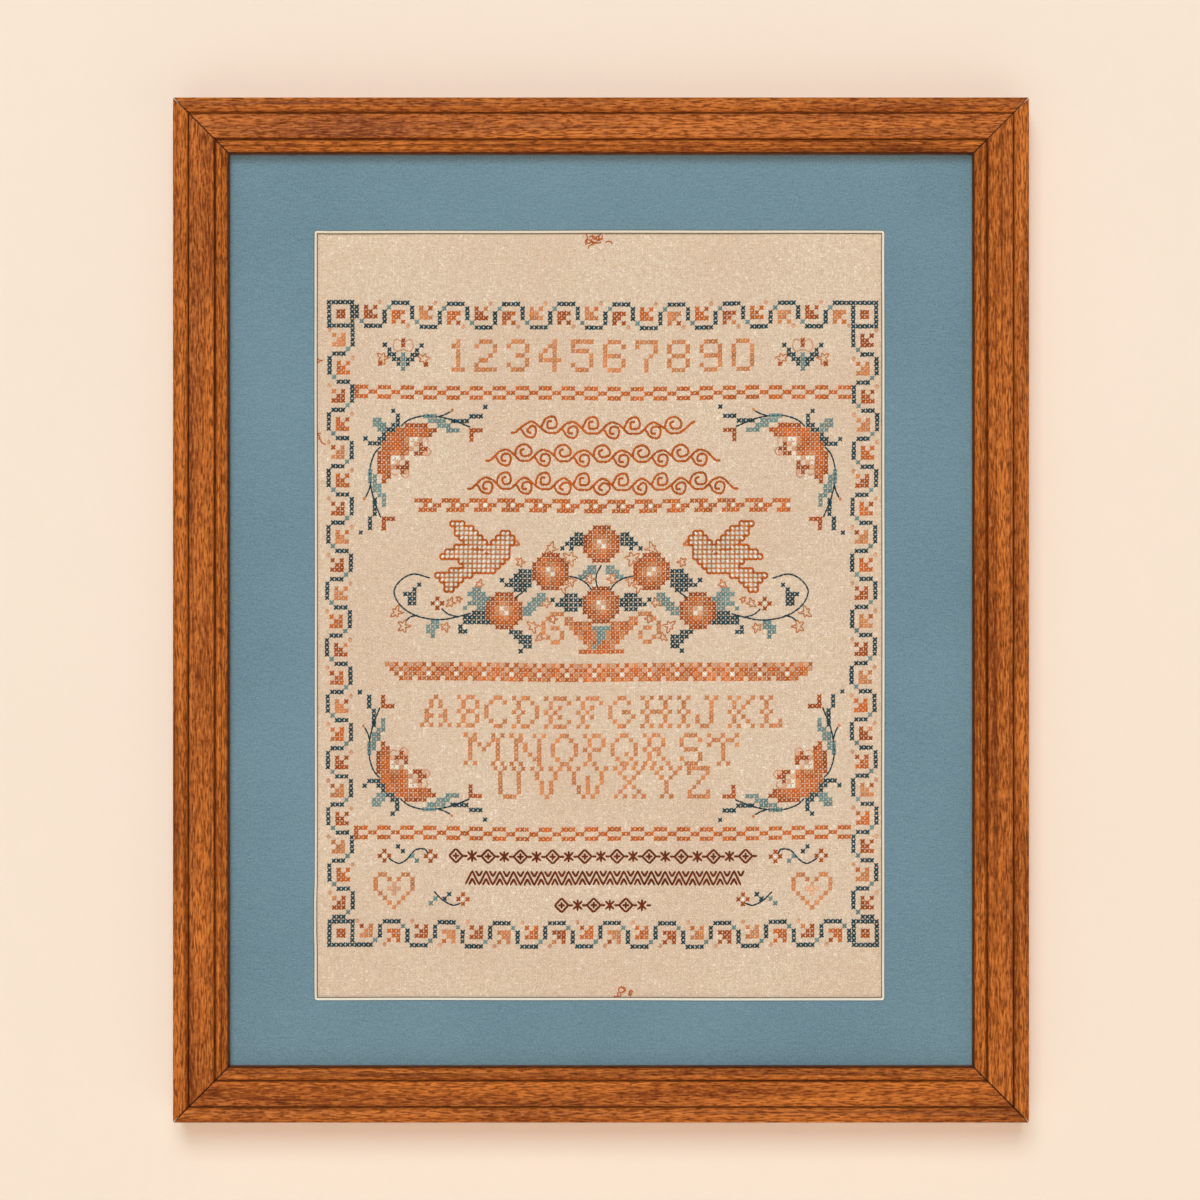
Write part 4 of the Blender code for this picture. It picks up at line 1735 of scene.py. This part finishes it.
def close_tree(sheet, shape, floss):
    """Make the copies real, give them their floss and hand them to the output."""
    real = sheet.node("GeometryNodeRealizeInstances", None, {"Geometry": shape})
    named = sheet.node("GeometryNodeSetMaterial", None, {"Geometry": real, "Material": floss})
    sheet.node("NodeGroupOutput", None, {0: named})
    return sheet.tree


def build_sewing_tree():
    """Points in, sewn stitches out."""
    sheet, given = new_tree("sewing", Points="Geometry", Stitch="Object", Floss="Material",
                            Sway="Float", Swell="Float", Seed="Int")
    seed = given.output("Seed")

    def chance(low, high, shift):
        inputs = {"Min": low, "Max": high, "Seed": seed + shift}
        return sheet.node("FunctionNodeRandomValue", {"data_type": "FLOAT"}, inputs)

    named = "GeometryNodeInputNamedAttribute"
    turn = sheet.node(named, {"data_type": "FLOAT"}, {"Name": "turn"})
    size = sheet.node(named, {"data_type": "FLOAT_VECTOR"}, {"Name": "size"})
    sway = given.output("Sway")
    swell = given.output("Swell")
    angle = turn + chance(0.0 - sway, sway, 0)
    rotation = sheet.node("ShaderNodeCombineXYZ", None, {"Y": angle})
    scale = sheet.node("ShaderNodeVectorMath", {"operation": "SCALE"},
                       {0: size, "Scale": chance(1.0 - swell, 1.0 + swell, 1)})
    shape = sheet.node("GeometryNodeObjectInfo", None, {"Object": given.output("Stitch")},
                       output="Geometry")
    placed = sheet.node("GeometryNodeInstanceOnPoints", None, {
        "Points": given, "Instance": shape, "Rotation": rotation, "Scale": scale})
    shaded = sheet.node("GeometryNodeStoreNamedAttribute",
                        {"data_type": "FLOAT", "domain": "INSTANCE"},
                        {"Geometry": placed, "Name": "shade", "Value": chance(0.0, 1.0, 2)})
    return close_tree(sheet, shaded, given.output("Floss"))


SEWING = build_sewing_tree()
print("nodes in the sewing tree:", len(SEWING.nodes))

# %% Sew
MOST_AT_ONCE = 1500


def run_tree(holder, tree, values):
    """Run a Geometry Nodes tree on an object and keep the result as its plain mesh."""
    modifier = holder.modifiers.new("nodes", "NODES")
    modifier.node_group = tree
    for item in tree.interface.items_tree:
        if item.name in values:
            modifier[item.identifier] = values[item.name]
    evaluated = holder.evaluated_get(bpy.context.evaluated_depsgraph_get())
    mesh = bpy.data.meshes.new_from_object(evaluated)
    holder.modifiers.remove(modifier)
    holder.data = mesh
    mesh.name = holder.name


def sew(name, points, shape, floss, sway, swell, seed):
    """Sew one colour; points hold (place, turn, size)."""
    mesh = bpy.data.meshes.new(name)
    mesh.from_pydata([place for place, _, _ in points], [], [])
    turns = mesh.attributes.new("turn", "FLOAT", "POINT")
    turns.data.foreach_set("value", [turn for _, turn, _ in points])
    sizes = mesh.attributes.new("size", "FLOAT_VECTOR", "POINT")
    sizes.data.foreach_set("vector", [part for _, _, size in points for part in size])
    holder = link_object(name, mesh)
    run_tree(holder, SEWING, {"Stitch": shape, "Floss": floss, "Sway": sway,
                              "Swell": swell, "Seed": seed})
    hand_over(holder, "linen")
    return holder


def in_lots(items):
    """Split a long list, so that no piece grows too large."""
    count = math.ceil(len(items) / MOST_AT_ONCE)
    return [items[part::count] for part in range(count)]


def cross_points(letter):
    """Where the crosses of one thread go."""
    squares = sorted(square for square, thread in crosses.items() if thread == letter)
    return [(on_chart(*square), 0.0, (1.0, 1.0, 1.0)) for square in squares]


def strand_points(letter):
    """Where the backstitches of one thread go, how they turn and how long they are."""
    points = []
    for thread, start, end, thick in strands:
        if thread != letter:
            continue
        first = on_chart(*start)
        last = on_chart(*end)
        run = last - first
        turn = math.atan2(-run.z, run.x)
        points.append(((first + last) / 2, turn, (run.length, thick, thick)))
    return points


def knot_points(letter):
    """Where the knots of one thread go."""
    chance = random.Random(11)
    return [(on_chart(*place), chance.uniform(0.0, math.tau), (size, size, size))
            for thread, place, size in knots if thread == letter]


STITCH_KINDS = (
    # name of the pieces, shape, points, sway in degrees, swell
    ("crosses", "cross", cross_points, 5.0, 0.07),
    ("backstitch", "backstitch", strand_points, 1.5, 0.05),
    ("knots", "knot", knot_points, 0.0, 0.15),
)
for kind, (label, shape, points_of, sway, swell) in enumerate(STITCH_KINDS):
    for number, (letter, (thread_name, _)) in enumerate(THREADS.items()):
        lots = in_lots(points_of(letter))
        for part, lot in enumerate(lots):
            ending = "_" + str(part + 1) if len(lots) > 1 else ""
            sew(label + "_" + thread_name + ending, lot, SHAPES[shape],
                                FLOSS[letter], math.radians(sway), swell,
                                100 * kind + 10 * number + part)
for shape in SHAPES.values():
    bpy.data.objects.remove(shape, do_unlink=True)

# %% [markdown]
# ## Loose ends
# Where the stitcher marked the middle of each side, short ends of rust floss still show at the
# edge of the window. They are thin curved strands, swept along random but fixed routes. A
# second small tree turns lines into thread: line to curve, and a round section along it.

# %% Build the thread tree and lay the ends
LOOSE_ENDS = (
    # column, row, spread in squares, how many
    (58.6, -13.0, 2.4, 14),
    (64.2, 147.6, 1.9, 8),
    (-1.9, 29.6, 0.9, 5),
    (-1.7, 13.0, 0.7, 3),
)
END_THICK = 0.24 * MM
END_LIFT = 0.15 * MM
END_POINTS = 7
END_STEP = 0.28
END_BEND = 0.9
END_FLATTEN = 0.35


def build_thread_tree():
    """Lines in, thread out."""
    sheet, given = new_tree("thread", Lines="Geometry", Radius="Float", Floss="Material")
    curve = sheet.node("GeometryNodeMeshToCurve", None, {"Mesh": given})
    section = sheet.node("GeometryNodeCurvePrimitiveCircle", None,
                         {"Resolution": 6, "Radius": given.output("Radius")})
    swept = sheet.node("GeometryNodeCurveToMesh", None,
                       {"Curve": curve, "Profile Curve": section, "Fill Caps": True})
    return close_tree(sheet, swept, given.output("Floss"))


def lay_loose_ends():
    """Short curved ends of floss at the window's edge."""
    chance = random.Random(29)
    points = []
    edges = []
    for column, row, spread, count in LOOSE_ENDS:
        for _ in range(count):
            angle = chance.uniform(0.0, math.tau)
            bend = chance.uniform(-END_BEND, END_BEND)
            here = Vector((column + chance.uniform(-spread, spread),
                           row + chance.uniform(-END_FLATTEN, END_FLATTEN) * spread))
            for step in range(END_POINTS):
                place = on_chart(*here)
                lift = END_LIFT * (1.2 + math.sin(step * 1.3 + bend))
                points.append(place + TOWARDS_VIEWER * lift)
                if step:
                    edges.append((len(points) - 2, len(points) - 1))
                here += Vector((math.cos(angle), math.sin(angle))) * END_STEP
                angle += bend
    mesh = bpy.data.meshes.new("loose_ends")
    mesh.from_pydata(points, edges, [])
    holder = link_object("loose_ends", mesh)
    run_tree(holder, build_thread_tree(), {"Radius": END_THICK, "Floss": FLOSS["R"]})
    holder.data.shade_smooth()
    hand_over(holder, "linen")
    return holder


lay_loose_ends()

# %% [markdown]
# ## The back
# Behind the cloth lie a plain brown hardboard, steel points and a toothed hanger with two
# nails. Their solids are already the right shape, so they only take a finish. Hardboard is
# pressed wood fibre, matt and mottled. The steel is zinc plated: grey, with a faint spangle
# and fine scratches in its roughness.

# %% Hardboard and zinc
def make_hardboard():
    """Pressed brown fibre board."""
    board = Finish("hardboard", {"Specular IOR Level": 0.25})
    place = board.place()
    fibre = board.noise(place, scale=900.0, detail=4.0, roughness=0.7)
    cloud = board.noise(place, scale=35.0, detail=2.0)
    tone = (fibre * 0.88 + cloud * 0.12).between(0.35, 0.68)
    board.feed("Base Color", board.mix(tone, dye(138, 104, 72), dye(182, 148, 110)))
    board.feed("Roughness", 0.7 + fibre * 0.2)
    board.relief(fibre, 0.08 * MM, 0.6)
    return board.material


def make_zinc():
    """Zinc-plated steel."""
    zinc = Finish("zinc_plate", {"Metallic": 1.0})
    place = zinc.place()
    spangle = zinc.node("ShaderNodeTexVoronoi", None, {"Vector": place, "Scale": 520.0},
                        output="Color")
    bright = zinc.axis(spangle, "X")
    scratch = zinc.noise(zinc.stretch(place, (300.0, 300.0, 4200.0)), detail=2.0)
    zinc.feed("Base Color", zinc.mix(bright, dye(176, 176, 172), dye(204, 203, 198)))
    zinc.feed("Roughness", 0.30 + bright * 0.12 + scratch * 0.16)
    zinc.relief(scratch, 0.01 * MM, 0.4)
    return zinc.material


hardboard = make_hardboard()
zinc_plate = make_zinc()
steel_nodes = sorted(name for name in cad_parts
                     if name.startswith(("framer_point", "sawtooth_hanger", "hanger_nail")))


def refinish(node, material):
    """Give a node of the construction a new finish."""
    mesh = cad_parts[node].data
    mesh.materials.clear()
    mesh.materials.append(material)


refinish("backing_board", hardboard)
for name in steel_nodes:
    refinish(name, zinc_plate)
print("refinished:", ["backing_board"] + steel_nodes)
